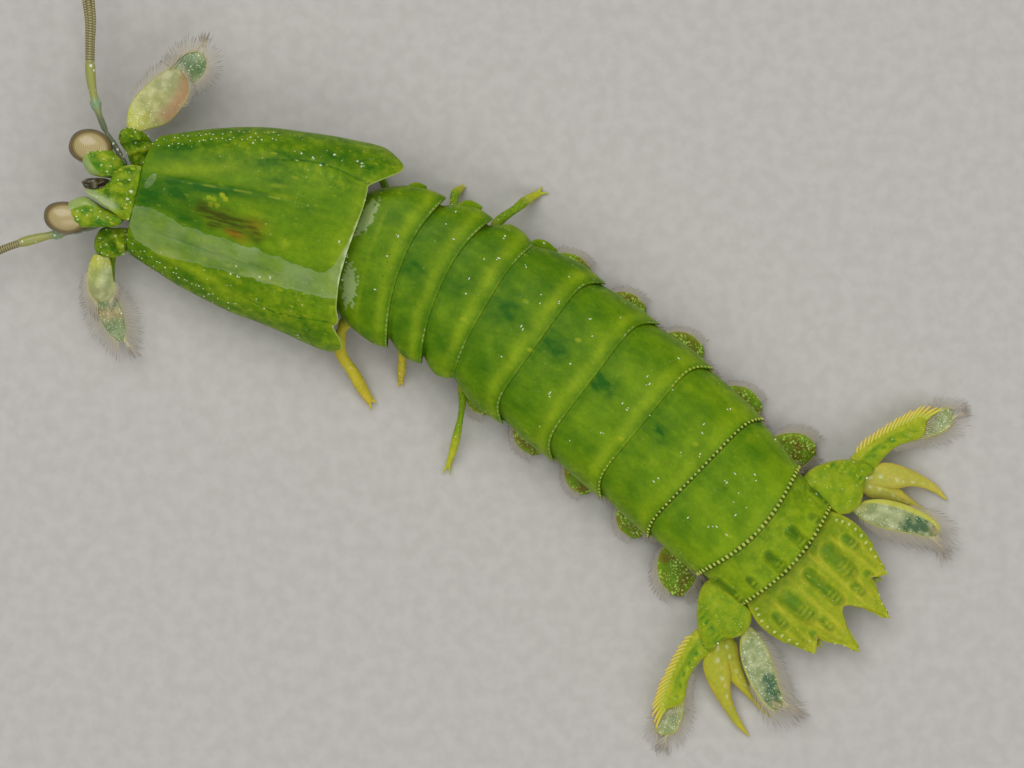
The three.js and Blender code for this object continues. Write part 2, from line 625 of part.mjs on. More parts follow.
// The telson is an arched plate with a keel, raised bosses, three pairs of teeth and small
// denticles between them
function telson() {
  const { front, halfWidth, thickness, thinning, rows, columns } = TELSON;
  const last = RINGS.at(-1);
  const pieces = [
    plate(columns, rows, (u, v, face) => {
      const start = ringRear(last, u) - last.rear + front;
      const s = THREE.MathUtils.lerp(start, along(TELSON_REAR, Math.abs(u)), v);
      const y = u * halfWidth * along(TELSON_SIDE, s);
      const depth = THREE.MathUtils.lerp(...thickness, v) * (1 - thinning * u * u);
      return new THREE.Vector3(s, y, telsonTop(s, y) - (face > 0.5 ? 0 : depth));
    }),
  ];
  const { from, to, halfWidth: keelHalf, height } = TELSON_KEEL;
  const keel = [from, (from + to) / 2, to].map((s, i) => ({
    at: new THREE.Vector3(s, 0, telsonTop(s, 0) - 0.15),
    across: new THREE.Vector3(0, keelHalf * (i === 1 ? 1 : 0.5), 0),
    up: new THREE.Vector3(0, 0, height * (i === 1 ? 1 : 0.6)),
  }));
  pieces.push(loft(keel, 8));
  for (const side of [-1, 1]) {
    for (const { root, tip, width } of TELSON_TEETH) {
      const start = new THREE.Vector3(root[0], root[1] * side, telsonTop(root[0], root[1]) - 0.4);
      const end = new THREE.Vector3(tip[0], tip[1] * side, telsonTop(tip[0], tip[1]) - 0.35);
      pieces.push(spine(start, end, width, 6));
    }
    for (const row of [TELSON_DENTICLES, TELSON_INNER_DENTICLES]) {
      const [start, end] = row.between;
      for (let i = 0; i < row.count; i++) {
        const share = i / (row.count - 1);
        const s = THREE.MathUtils.lerp(start[0], end[0], share);
        const y = THREE.MathUtils.lerp(start[1], end[1], share);
        const root = new THREE.Vector3(s - 0.5, y * side, telsonTop(s, y) - 0.35);
        const tip = new THREE.Vector3(s + row.length, y * side, telsonTop(s, y) - 0.45);
        pieces.push(spine(root, tip, row.width, 4));
      }
    }
    for (const { at, size } of TELSON_BOSSES) {
      const middle = new THREE.Vector3(at[0], at[1] * side, telsonTop(at[0], at[1]) - 0.1);
      pieces.push(ball(middle, size));
    }
  }
  return joined(pieces);
}

// Base joint of a tail limb with the forked process that grows from its underside
function uropodBase(side) {
  return joined([
    loft(sections(UROPOD_BASE, side), 12, 2.6),
    limb(OUTER_PRONG[sideName(side)], OUTER_PRONG.girths, 8, side),
    limb(INNER_PRONG[sideName(side)], INNER_PRONG.girths, 8, side),
  ]).trimByPlane([0, 0, 1], 0);
}

// Outer blade with a comb of movable spines on its front edge, longer towards its end
function exopod(side) {
  const { path, girths } = EXOPOD;
  const pieces = [limb(path, girths, 6, side)];
  const { count, first, last, length, width, splay } = EXOPOD_SPINES;
  const curve = new THREE.CatmullRomCurve3(path.map((point) => vector(onSide(point, side))));
  for (let i = 0; i < count; i++) {
    const share = i / (count - 1);
    const place = THREE.MathUtils.lerp(first, last, share);
    const tangent = curve.getTangentAt(place);
    const outward = new THREE.Vector3(0, 0, 1).cross(tangent).multiplyScalar(side).normalize();
    if (outward.x > 0) outward.negate();
    const [halfWidth] = between(girths, place);
    const root = curve.getPointAt(place).addScaledVector(outward, halfWidth * 0.6);
    const reach = THREE.MathUtils.lerp(length[0], length[1], share) + halfWidth * 0.4;
    const lean = radians(THREE.MathUtils.lerp(...splay, share));
    const aim = tangent.clone().multiplyScalar(Math.cos(lean)).addScaledVector(outward, Math.sin(lean));
    const tip = root.clone().addScaledVector(aim, reach);
    tip.z = Math.max(tip.z, 0.15);
    pieces.push(spine(root, tip, width, 5));
  }
  const base = loft(widened(sections(UROPOD_BASE, side), EXOPOD_JOINT_GAP), 12, 2.6);
  const prong = loft(widened(pathSections(OUTER_PRONG[sideName(side)], OUTER_PRONG.girths, 8, side)), 8);
  return largest(joined(pieces).subtract(base).subtract(prong)).trimByPlane([0, 0, 1], 0);
}

const paddle = (side) => limb(PADDLE.path, PADDLE.girths, 6, side).trimByPlane([0, 0, 1], 0);

// Inner blade, cut clear of the base joint and of the prong beside it
function endopod(side) {
  const base = loft(widened(sections(UROPOD_BASE, side)), 12, 2.6);
  const prong = loft(widened(pathSections(INNER_PRONG[sideName(side)], INNER_PRONG.girths, 8, side)), 8);
  return largest(limb(ENDOPOD.path, ENDOPOD.girths, 9, side).subtract(base).subtract(prong));
}

// The rostral plate narrows forward into a slender median spine
function rostrum() {
  const { base, tip, lean, top, drop, arch, thickness, rows, columns } = ROSTRUM;
  return plate(columns, rows, (u, v, face) => {
    const s = THREE.MathUtils.lerp(base, tip, v);
    const y = u * along(ROSTRUM_HALF_WIDTH, s) + lean * (s - base);
    const fall = arch * u * u * (1 - v);
    const z = top + drop * (s - base) - fall - (face > 0.5 ? 0 : thickness * (1 - 0.5 * v));
    return new THREE.Vector3(s, y, z);
  });
}

// A flat, wide eye stalk between its root and the rim that carries the cornea
function eyeSections({ root, rim }) {
  const rows = 3;
  return Array.from({ length: rows + 1 }, (_, i) => {
    const share = i / rows;
    const inner = vector([...root[0], EYE_HEIGHT]).lerp(vector([...rim[0], EYE_HEIGHT]), share);
    const outer = vector([...root[1], EYE_HEIGHT]).lerp(vector([...rim[1], EYE_HEIGHT]), share);
    return {
      at: inner.clone().add(outer).multiplyScalar(0.5),
      across: outer.sub(inner).multiplyScalar(0.5),
      up: new THREE.Vector3(0, 0, THREE.MathUtils.lerp(...EYE_STALK_THICKNESS, share)),
    };
  });
}

// The cornea is a bean along the rim, cut clear of the stalk
function cornea(eye) {
  const stations = eyeSections(eye);
  const rim = stations.at(-1);
  const rimward = rim.across.clone().normalize();
  const outward = rim.at.clone().sub(stations[0].at);
  outward.addScaledVector(rimward, -outward.dot(rimward)).normalize();
  const { reach, halfBulge, halfHeight, overhang, curve } = CORNEA;
  const middle = rim.at.clone().addScaledVector(outward, reach);
  const halfLength = rim.across.length() + overhang;
  const bean = moved(new THREE.SphereGeometry(1, 14, 10), (point) => {
    const { x, y, z } = point;
    point
      .copy(middle)
      .addScaledVector(rimward, x * halfLength)
      .addScaledVector(outward, y * halfBulge - curve * x * x)
      .add(new THREE.Vector3(0, 0, z * halfHeight));
  });
  return largest(solidOf(bean).subtract(loft(widened(stations), 12, 2.6)));
}

function antennule(side) {
  const { stem, whip } = ANTENNULES[side];
  const pieces = [limb(stem, ANTENNULE_GIRTHS, 12, 1)];
  WHIP_SPREAD.forEach((spread, i) => {
    const path = whip.map(([s, y, z], k) => [s + spread * (1 + k * k * 0.5), y, z + (i === 1 ? 0.35 : 0)]);
    path[0] = whip[0];
    pieces.push(limb(path, WHIP_GIRTHS, 9, 1, 5));
  });
  return joined(pieces);
}

function antenna(side) {
  const { base, feeler } = ANTENNAE[side];
  return joined([limb(base, ANTENNA_GIRTHS, 5, 1), limb(feeler, FEELER_GIRTHS, 10, 1, 6)]);
}

function antennalScale(side) {
  const { scale, tilt } = ANTENNAE[side];
  return loft(pathSections(scale, SCALE_GIRTHS, 10, 1, tilt), 8);
}

function clawUpperArm(side) {
  const inset = CLAW_INSET[sideName(side)];
  const path = CLAW_UPPER_ARM.path.map(([s, y, z]) => [s, y - inset, z]);
  return limb(path, CLAW_UPPER_ARM.girths, 8, side, 10);
}

const clawHandSections = (side) => pathSections(CLAW_HAND.path, CLAW_HAND.girths, 12, side);

function clawFinger(side) {
  const { path, girths } = CLAW_FINGER;
  const pieces = [limb(path, girths, 10, side)];
  const curve = new THREE.CatmullRomCurve3(path.map((point) => vector(onSide(point, side))));
  const { count, first, last, length, width } = CLAW_TEETH;
  for (let i = 0; i < count; i++) {
    const root = curve.getPointAt(THREE.MathUtils.lerp(first, last, i / (count - 1)));
    const tip = root.clone().add(new THREE.Vector3(-0.2, side * (0.3 + length), 0));
    pieces.push(spine(root, tip, width, 4));
  }
  const hand = loft(widened(clawHandSections(side)), 10);
  return largest(joined(pieces).subtract(hand));
}

// A small feeding limb: forward from its root, then folded back on itself with a clubbed hand
function feedingLimb(index, side) {
  const { first, spacing, root, elbow, fold, club, girths } = FEEDING_LIMBS;
  const start = first - index * spacing;
  const path = [
    [start, root[0], root[1]],
    [start - fold * 0.6, elbow[0] + 0.5, elbow[1]],
    [start - fold, elbow[0], elbow[1] - 0.3],
    [start - fold - club, elbow[0], elbow[1] - 0.5],
  ];
  return limb(path, girths, 8, side);
}

// A walking leg that ends in a pair of small claws on the floor
function leg(name) {
  const path = LEGS[name];
  const stations = pathSections(path, LEG_GIRTHS, 9);
  const pieces = [loft(stations, 7)];
  const foot = stations.at(-1);
  const { length, width, splay } = FOOT_CLAWS;
  const ahead = foot.tangent.clone().setZ(0).normalize();
  for (const turn of [-splay, splay]) {
    const root = foot.at.clone().setZ(0.12);
    const reach = ahead.clone().applyAxisAngle(new THREE.Vector3(0, 0, 1), radians(turn));
    pieces.push(spine(root, root.clone().addScaledVector(reach, length), width, 5));
  }
  return joined(pieces).trimByPlane([0, 0, 1], 0);
}

function flap(index, side) {
  const start = RINGS[FLAP.firstRing + index].rear - FLAP.lead;
  const path = FLAP.path.map(([s, y, z]) => [start + s, y, z]);
  return limb(path, FLAP.girths, 6, side);
}

const SIDES = { right: 1, left: -1 };

addNode("carapace", carapace(), "green_shell");
addNode("rostrum", rostrum(), "yellow_green_shell");
addNode("head", loft(sections(HEAD_CORE), 16, 2.4), "green_shell");
RINGS.forEach((ring, index) => addNode(ring.name, ringSolid(index), "green_shell"));
addNode("telson", telson(), "yellow_green_shell");

for (const [name, side] of Object.entries(SIDES)) {
  const eye = EYES[name];
  addNode(`eye_stalk_${name}`, loft(eyeSections(eye), 12, 2.6), "yellow_green_shell", HEAD_LIMB_ROLL);
  addNode(`cornea_${name}`, cornea(eye), "cornea", HEAD_LIMB_ROLL);
  addNode(`antennule_${name}`, antennule(name), "clear_blade", HEAD_LIMB_ROLL);
  addNode(`antenna_${name}`, antenna(name), "green_shell", HEAD_LIMB_ROLL);
  addNode(`antennal_scale_${name}`, antennalScale(name), "clear_blade", HEAD_LIMB_ROLL);
  addNode(`claw_upper_arm_${name}`, clawUpperArm(side), "pale_limb", 0);
  addNode(`claw_hand_${name}`, loft(clawHandSections(side), 10), "pale_limb", 0);
  addNode(`claw_finger_${name}`, clawFinger(side), "pale_limb", 0);
  for (let index = 0; index < FEEDING_LIMBS.count; index++) {
    addNode(`feeding_limb_${name}_${index + 1}`, feedingLimb(index, side), "pale_limb", 0);
  }
  for (let index = 1; index <= 3; index++) {
    addNode(`leg_${name}_${index}`, leg(`${name}_${index}`), "yellow_green_shell", 0);
  }
  for (let index = 0; index < FLAP.count; index++) {
    addNode(`swimming_flap_${name}_${index + 1}`, flap(index, side), "yellow_green_shell", 0);
  }
  addNode(`uropod_base_${name}`, uropodBase(side), "yellow_green_shell", 0);
  addNode(`uropod_exopod_${name}`, exopod(side), "yellow_green_shell", 0);
  addNode(`uropod_paddle_${name}`, paddle(side), "clear_blade", 0);
  addNode(`uropod_endopod_${name}`, endopod(side), "clear_blade", 0);
}

export default model;
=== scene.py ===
"""A green mantis shrimp at life size, lying on a pale table in the bent pose of its solids.

Pieces are drawn on a straight animal in millimetres: s runs backwards from the front edge of the
carapace, y to the animal's right and z up from the table. bend() carries them onto the curved body,
in metres. The places of the markings are measured as they show from above.
"""

import math

import bpy
import numpy as np
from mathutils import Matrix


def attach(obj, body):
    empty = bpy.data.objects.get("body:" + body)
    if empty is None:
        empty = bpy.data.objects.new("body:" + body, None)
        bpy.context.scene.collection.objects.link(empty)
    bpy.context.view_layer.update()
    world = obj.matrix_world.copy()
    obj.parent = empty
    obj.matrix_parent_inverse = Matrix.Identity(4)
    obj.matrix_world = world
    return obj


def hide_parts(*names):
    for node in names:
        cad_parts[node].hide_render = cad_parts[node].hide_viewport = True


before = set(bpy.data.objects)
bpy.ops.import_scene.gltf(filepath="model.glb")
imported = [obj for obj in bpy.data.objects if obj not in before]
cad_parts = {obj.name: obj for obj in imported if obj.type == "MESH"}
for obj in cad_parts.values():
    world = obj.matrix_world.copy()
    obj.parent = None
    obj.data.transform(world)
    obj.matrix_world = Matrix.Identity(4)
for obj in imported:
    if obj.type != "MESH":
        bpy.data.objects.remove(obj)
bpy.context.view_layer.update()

MM = 0.001
SIDES = {"right": 1, "left": -1}
random = np.random.default_rng(7)

# Driving dimensions

HEADINGS = [
    (-20, -13.5), (8, -13.5), (20, -18), (24.6, -23.7), (28.2, -29), (32.7, -35.5),
    (43, -38), (48.5, -43), (53.5, -45.5), (58.2, -42), (80, -42),
]
AXIS_STEP = 0.25
ROLL = [(-20, 10), (14, 10), (31, 0)]
ROLL_HEIGHT = 7
HEAD_LIMB_LEAN = 0.5
FOOTPRINT_MIDDLE = (22.8, -11)

CARAPACE_HALF_WIDTH = [
    (-0.4, 4.35), (0.1, 4.8), (1.1, 5.25), (2.95, 5.95), (4.8, 6.6),
    (8.4, 7.5), (12, 7.95), (15.7, 8.4), (17.5, 8.5), (19.4, 8.3),
]
CARAPACE_CROWN = [(-0.5, 7.3), (1.5, 7.7), (5, 8.2), (12, 8.8), (19, 8.8)]
CARAPACE_WIDEST_HEIGHT = [(-0.5, 5.3), (6, 4.7), (19, 4.5)]
CARAPACE_REAR = {
    "right": [
        (0, 17.1), (0.11, 17.2), (0.25, 17.3), (0.35, 17.25), (0.386, 17.2), (0.434, 17.75), (0.506, 18.5),
        (0.58, 19.1), (0.64, 19.35), (0.7, 19.25), (0.76, 18.8), (0.9, 17.7), (1, 16.9),
    ],
    "left": [
        (0, 17.1), (0.11, 17.15), (0.2, 17.35), (0.3, 17.65), (0.36, 18), (0.4, 18), (0.425, 17.8),
        (0.46, 18),
        (0.52, 18.5), (0.6, 18.9), (0.66, 18.95), (0.74, 18.5), (0.9, 17.6), (1, 16.9),
    ],
}
CARAPACE_FRONT = [(0, -0.4), (0.45, -0.35), (0.8, 0.1), (1, 0.8)]
CARAPACE_TURN = 100
CARAPACE_SQUARENESS = 2.3
CARAPACE_THICKNESS = 0.45
GROOVES = [(2, 2.3), (8, 2.85), (12.5, 3.1)]
SIDE_LINES = [(5.6, 4.4), (10, 5.75), (13, 6.3), (17, 5.85)]

RING_KEYS = ("name", "rear", "widths", "bow", "heights", "sweep")
RINGS = [
    dict(zip(RING_KEYS, ring)) for ring in (
        ("thorax_somite_6", 21.55, (4.4, 6.45), 0.35, (7.9, 4.3), (1.3, 2.2)),
        ("thorax_somite_7", 25.1, (5.75, 6.45), 0.35, (8, 4.2), (1.3, 2.4)),
        ("thorax_somite_8", 29, (5.85, 6.15), 0.65, (8.1, 4), (0.75, 3)),
        ("abdomen_somite_1", 34.1, (6.15, 6.95), 0.35, (8.3, 2.7), (1.55, 9)),
        ("abdomen_somite_2", 39.3, (6.7, 6.95), 0.1, (8.4, 2.6), (1.6, 9)),
        ("abdomen_somite_3", 44.65, (6.7, 6.85), 0.1, (8.4, 2.6), (1.5, 9)),
        ("abdomen_somite_4", 50.6, (6.6, 6.6), 0.08, (8.2, 2.6), (0.85, 9)),
        ("abdomen_somite_5", 56.1, (6.35, 5.95), 0.1, (7.8, 2.8), (0.2, 9)),
        ("abdomen_somite_6", 60.3, (5.6, 5.3), 0.02, (6.9, 3.2), (0.1, 9)),
    )
]
RING_BULGE = {"abdomen_somite_5": 1.3, "abdomen_somite_6": 0.9}
FIRST_RING_FRONT = 16.7
FIRST_RING_CROWN = 7.2
RING_STEP_DOWN = 0.07
RING_WIDEST = 0.3
RING_SQUARENESS = 2.4
RING_UNDERSIDE = [(0, 0.11), (0.4, 0.11), (0.74, 0.15), (0.86, 0.01), (0.93, 0), (1, 0.12)]

TELSON_FRONT = 60.5
TELSON_HALF_WIDTH = 5.3
TELSON_REAR = [
    (0, 66.45), (0.08, 66.75), (0.17, 67.5), (0.25, 68.3), (0.3, 69.15), (0.345, 69.95), (0.39, 69.4),
    (0.45, 68.55), (0.52, 67.85), (0.56, 67.1), (0.585, 66.65), (0.63, 66.6), (0.71, 66.95), (0.79, 67.25),
    (0.835, 67.35), (0.87, 66.6), (0.91, 65.65), (0.95, 65.15), (0.985, 64.95), (1, 64.75),
]
TELSON_SIDE = [(60.5, 0.96), (62.2, 1.06), (63.6, 1.06), (64.8, 1.02), (66, 0.985), (70, 0.98)]
TELSON_CROWN = [(60.9, 6.2), (64, 4.9), (67, 3.3), (70, 1.9)]
TELSON_FALL = 1.6

# Curves and the bent body

FULL_TURN = 2 * math.pi
TINY = 1e-9


def smooth(stops, place):
    """Smooth curve through (place, value) stops: each stretch is the cubic whose end slopes are the
    means of the neighbouring chords, and the curve is level beyond its ends."""
    xs, ys = np.array(stops, float).T[:2]
    place = np.clip(np.asarray(place, float), xs[0], xs[-1])
    chord = np.diff(ys) / np.diff(xs)
    slope = np.concatenate([chord[:1], (chord[1:] + chord[:-1]) / 2, chord[-1:]])
    i = np.clip(np.searchsorted(xs, place, side="right") - 1, 0, len(xs) - 2)
    span = xs[i + 1] - xs[i]
    t = (place - xs[i]) / span
    rise = (ys[i + 1] - ys[i]) * t * t * (3 - 2 * t)
    return ys[i] + rise + span * t * (1 - t) * (slope[i] * (1 - t) - slope[i + 1] * t)


def straight(stops, place):
    """Straight stretches through (place, value) stops."""
    xs, ys = np.array(stops, float).T[:2]
    return np.interp(place, xs, ys)


def running(values):
    """Running sum that starts from nought."""
    return np.concatenate([[0], np.cumsum(values)])


def unit(vectors):
    """Vectors brought to length one."""
    return vectors / np.maximum(np.linalg.norm(vectors, axis=-1, keepdims=True), TINY)


def lerp(first, last, share):
    """Straight blend between two values."""
    return first + (last - first) * share


def body_axis():
    """Middle line of the body: steps of constant heading summed from the front to the tail, moved so
    that s = 0 lies at the origin."""
    s = np.arange(HEADINGS[0][0], HEADINGS[-1][0] + AXIS_STEP, AXIS_STEP)
    heading = np.radians(straight(HEADINGS, s))
    x = running(np.cos(heading[:-1]) * AXIS_STEP)
    y = running(np.sin(heading[:-1]) * AXIS_STEP)
    return s, x - np.interp(0, s, x), y - np.interp(0, s, y), heading


AXIS_S, AXIS_X, AXIS_Y, AXIS_HEADING = body_axis()


def leaned(points, lean):
    """Sideways place and height of points once they are turned about the roll height by the lean of
    the front of the body."""
    roll = np.radians(straight(ROLL, points[..., 0])) * lean
    height = points[..., 2] - ROLL_HEIGHT
    sideways = points[..., 1] * np.cos(roll) - height * np.sin(roll)
    return sideways, ROLL_HEIGHT + height * np.cos(roll) + points[..., 1] * np.sin(roll)


def seen(points, lean=1.0):
    """Place of points of the straight animal as seen from above: s as it is, and y leaned."""
    return points[..., 0], leaned(points, lean)[0]


def unseen(points, lean=1.0):
    """Points given by their seen place (s, sideways) and height z, turned back onto the straight
    animal."""
    points = np.array(points, float)
    roll = np.radians(straight(ROLL, points[..., 0])) * lean
    points[..., 1] = (points[..., 1] + (points[..., 2] - ROLL_HEIGHT) * np.sin(roll)) / np.cos(roll)
    return points


def bend(points, lean=1.0):
    """Carries points of the straight animal onto the bent one: leaned, set square to the middle
    line at s, and moved to the middle of the footprint, in metres."""
    s = points[..., 0]
    sideways, up = leaned(points, lean)
    heading = np.interp(s, AXIS_S, AXIS_HEADING)
    x = np.interp(s, AXIS_S, AXIS_X) - np.sin(heading) * sideways - FOOTPRINT_MIDDLE[0]
    y = np.interp(s, AXIS_S, AXIS_Y) + np.cos(heading) * sideways - FOOTPRINT_MIDDLE[1]
    return MM * np.stack([x, y, up], -1)


def bulged(value, squareness):
    """Superellipse shaping: the sign of value times its size to the power 2 / squareness."""
    return np.sign(value) * np.abs(value) ** (2 / squareness)


def hill(distance, width):
    """Bell of height one: e to the minus (distance / width) squared."""
    return np.exp(-((distance / width) ** 2))


def step(value, low, high):
    """Smooth step from 0 at low to 1 at high."""
    t = np.clip((value - low) / (high - low), 0, 1)
    return t * t * (3 - 2 * t)


def blob(s, y, middle, size, turn=0):
    """Oval bell round a middle, with half sizes along and across it, turned by some degrees."""
    c, n = math.cos(math.radians(turn)), math.sin(math.radians(turn))
    along = (s - middle[0]) * c + (y - middle[1]) * n
    across = (y - middle[1]) * c - (s - middle[0]) * n
    return np.exp(-((along / size[0]) ** 2) - (across / size[1]) ** 2)


def around_once(count):
    """Angles of one full turn in even steps."""
    return np.linspace(0, FULL_TURN, count, endpoint=False)


def oval(around, squareness=2.0):
    """Sideways and upward shares of the points of a superellipse section."""
    angle = around_once(around)
    return bulged(np.cos(angle), squareness), bulged(np.sin(angle), squareness)


# Closed surfaces


def grid_faces(rows, columns, wrap=False):
    """Four-cornered faces of a grid of rows x columns points; wrap joins the last column to the
    first."""
    index = np.arange(rows * columns).reshape(rows, columns)
    if wrap:
        index = np.concatenate([index, index[:, :1]], 1)
    return np.stack([index[:-1, :-1], index[:-1, 1:], index[1:, 1:], index[1:, :-1]], -1).reshape(-1, 4)


def tube_faces(rows, columns):
    """Faces of a closed tube: its wall, and a fan to each of the two end points after its rings."""
    ring = np.arange(columns)
    after = np.roll(ring, -1)
    last = (rows - 1) * columns
    first_fan = np.stack([np.full(columns, rows * columns), after, ring], -1)
    last_fan = np.stack([np.full(columns, rows * columns + 1), last + ring, last + after], -1)
    return grid_faces(rows, columns, wrap=True), np.concatenate([first_fan, last_fan])


def tube(points):
    """Closed surface over rows of closed rings (rows, columns, 3), with a fan at each end."""
    ends = np.stack([points[0].mean(0), points[-1].mean(0)])
    return np.concatenate([points.reshape(-1, 3), ends]), *tube_faces(*points.shape[:2])


def copies(corners, faces):
    """One surface of many tubes: their corners (tubes, corners, 3), and the faces that each has."""
    offset = np.arange(len(corners))[:, None, None] * corners.shape[1]
    quads, triangles = ((part[None] + offset).reshape(-1, part.shape[1]) for part in faces)
    return corners.reshape(-1, 3), quads, triangles


def slab(top, bottom):
    """Closed plate between two grids of the same size, with a wall along each of the four edges."""
    rows, columns = top.shape[:2]
    count = rows * columns
    up = np.arange(count).reshape(rows, columns)
    down = up + count
    faces = grid_faces(rows, columns)
    walls = [
        (up[0, 1:], up[0, :-1], down[0, :-1], down[0, 1:]),
        (up[-1, :-1], up[-1, 1:], down[-1, 1:], down[-1, :-1]),
        (up[:-1, 0], up[1:, 0], down[1:, 0], down[:-1, 0]),
        (up[1:, -1], up[:-1, -1], down[:-1, -1], down[1:, -1]),
    ]
    quads = [faces, faces[:, ::-1] + count] + [np.stack(wall, -1) for wall in walls]
    points = np.concatenate([top.reshape(-1, 3), bottom.reshape(-1, 3)])
    return points, np.concatenate(quads), np.empty((0, 3), int)


def normals(grid):
    """Unit normals of a grid of points: the cross product of its two central differences."""
    return unit(np.cross(np.gradient(grid, axis=0), np.gradient(grid, axis=1)))


def enclosed(points, quads, triangles):
    """Six times the volume inside a closed surface: the sum of a . (b x c) over its triangles."""
    faces = np.concatenate([quads[:, [0, 1, 2]], quads[:, [0, 2, 3]], triangles])
    a, b, c = points[faces[:, 0]], points[faces[:, 1]], points[faces[:, 2]]
    return float(np.sum(a * np.cross(b, c)))


def over_surface(mask, count):
    """A mask spread over a closed surface of some points: one number over all of them, a grid over
    both sides of its plate, or over its tube with nothing at the two end points."""
    mask = np.asarray(mask, float)
    if mask.ndim < 2:
        return np.broadcast_to(mask, (count,))
    return np.tile(mask.ravel(), 2) if 2 * mask.size == count else np.append(mask, [0, 0])


class Form:
    """Closed surfaces of one piece with the masks that its material reads."""

    STAINS = (
        "warm", "mottle", "shade", "glow", "freckle", "dash", "pore", "seam", "bead", "organ", "rust", "film",
    )
    PLACES = ("along", "across")

    def __init__(self, lean=1.0):
        """An empty piece that follows a share of the lean of the front of the body."""
        self.lean, self.count = lean, 0
        self.points, self.flat, self.quads, self.triangles, self.uv = [], [], [], [], []
        self.masks = {name: [] for name in self.STAINS + self.PLACES}

    def add(self, surface, uv=None, **masks):
        """Bends a closed surface of the straight animal into the piece, its faces turned outwards;
        stains are held between 0 and 1."""
        points, quads, triangles = surface
        placed = bend(points, self.lean)
        if enclosed(placed, quads, triangles) < 0:
            quads, triangles = quads[:, ::-1], triangles[:, ::-1]
        self.points.append(placed)
        self.flat.append(points)
        self.quads.append(quads + self.count)
        self.triangles.append(triangles + self.count)
        if uv is not None:
            self.uv.append(uv)
        for name, values in self.masks.items():
            mask = over_surface(masks.get(name, 0.0), len(points))
            values.append(mask if name in self.PLACES else np.clip(mask, 0, 1))
        self.count += len(points)
        return self

    def mesh(self, name):
        """Mesh of the piece, with the straight place of each point as attribute flat and, for
        bristles, their bake places."""
        mesh = bpy.data.meshes.new(name)
        quads, triangles = np.concatenate(self.quads), np.concatenate(self.triangles)
        corners = np.concatenate([quads.ravel(), triangles.ravel()]).astype(np.int32)
        sizes = np.concatenate([np.full(len(quads), 4), np.full(len(triangles), 3)])
        mesh.vertices.add(self.count)
        mesh.vertices.foreach_set("co", np.concatenate(self.points).astype(np.float32).ravel())
        mesh.loops.add(len(corners))
        mesh.loops.foreach_set("vertex_index", corners)
        mesh.polygons.add(len(sizes))
        mesh.polygons.foreach_set("loop_start", (np.cumsum(sizes) - sizes).astype(np.int32))
        mesh.polygons.foreach_set("use_smooth", np.ones(len(sizes), bool))
        mesh.update(calc_edges=True)
        flat = mesh.attributes.new("flat", "FLOAT_VECTOR", "POINT")
        flat.data.foreach_set("vector", np.concatenate(self.flat).astype(np.float32).ravel())
        for mask, values in self.masks.items():
            values = np.concatenate(values)
            if values.any():
                layer = mesh.attributes.new(mask, "FLOAT", "POINT")
                layer.data.foreach_set("value", values.astype(np.float32))
        if self.uv:
            places = np.concatenate(self.uv)[corners]
            mesh.uv_layers.new(name="OFBake").data.foreach_set("uv", places.astype(np.float32).ravel())
        return mesh

    def build(self, name, skin, nodes=(), slot=None):
        """Makes the object of the piece, in place of the solids that it covers; the slot argument is
        not used."""
        mesh = self.mesh(name)
        mesh.materials.append(skin)
        piece = bpy.data.objects.new(name, mesh)
        bpy.context.scene.collection.objects.link(piece)
        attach(piece, "root")
        if nodes:
            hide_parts(*nodes)


# Limbs, spines and bristles

CAP_RINGS = 5
PEARL_RINGS, PEARL_COLUMNS = 5, 8
BAKE_MARGIN, BAKE_WIDTH, BAKE_PATCH, BAKE_PITCH = 0.02, 0.95, 0.003, 0.04


def on_side(path, side):
    """A path drawn for the right side, mirrored where side is -1."""
    return np.array(path, float) * [1, side, 1]


def centreline(path, shares):
    """Points and directions at shares of the length of a centripetal Catmull-Rom curve: each
    stretch is the cubic whose end slopes are weighted by the square roots of the chords."""
    path = np.array(path, float)
    ahead = np.concatenate([[2 * path[0] - path[1]], path, [2 * path[-1] - path[-2]]])
    knots = np.sqrt(np.linalg.norm(np.diff(ahead, axis=0), axis=1))
    t = np.linspace(0, 1, 60)[:, None]
    dense = [path[:1]]
    for i in range(len(path) - 1):
        a, b, c, d = ahead[i : i + 4]
        ab, bc, cd = knots[i : i + 3]
        start = ((b - a) / ab - (c - a) / (ab + bc) + (c - b) / bc) * bc
        end = ((c - b) / bc - (d - b) / (bc + cd) + (d - c) / cd) * bc
        cubic = (2 * b - 2 * c + start + end) * t**3 + (3 * c - 3 * b - 2 * start - end) * t**2
        dense.append((cubic + start * t + b)[1:])
    dense = np.concatenate(dense)
    length = running(np.linalg.norm(np.diff(dense, axis=0), axis=1))
    slopes = np.gradient(dense, length, axis=0)
    places = np.asarray(shares) * length[-1]
    at_places = lambda values: np.stack([np.interp(places, length, value) for value in values.T], -1)
    return at_places(dense), unit(at_places(slopes))


def level_axes(tangents):
    """Across and up directions of a limb: across is level and square to the path."""
    across = unit(np.cross([0.0, 0.0, 1.0], tangents))
    return across, np.cross(tangents, across)


def spots(shares, x):
    """Share along and place across of each point of a tube with rings at the shares, and of its two
    end points."""
    return np.append(np.repeat(shares, len(x)), [0, 1]), np.append(np.tile(x, len(shares)), [0, 0])


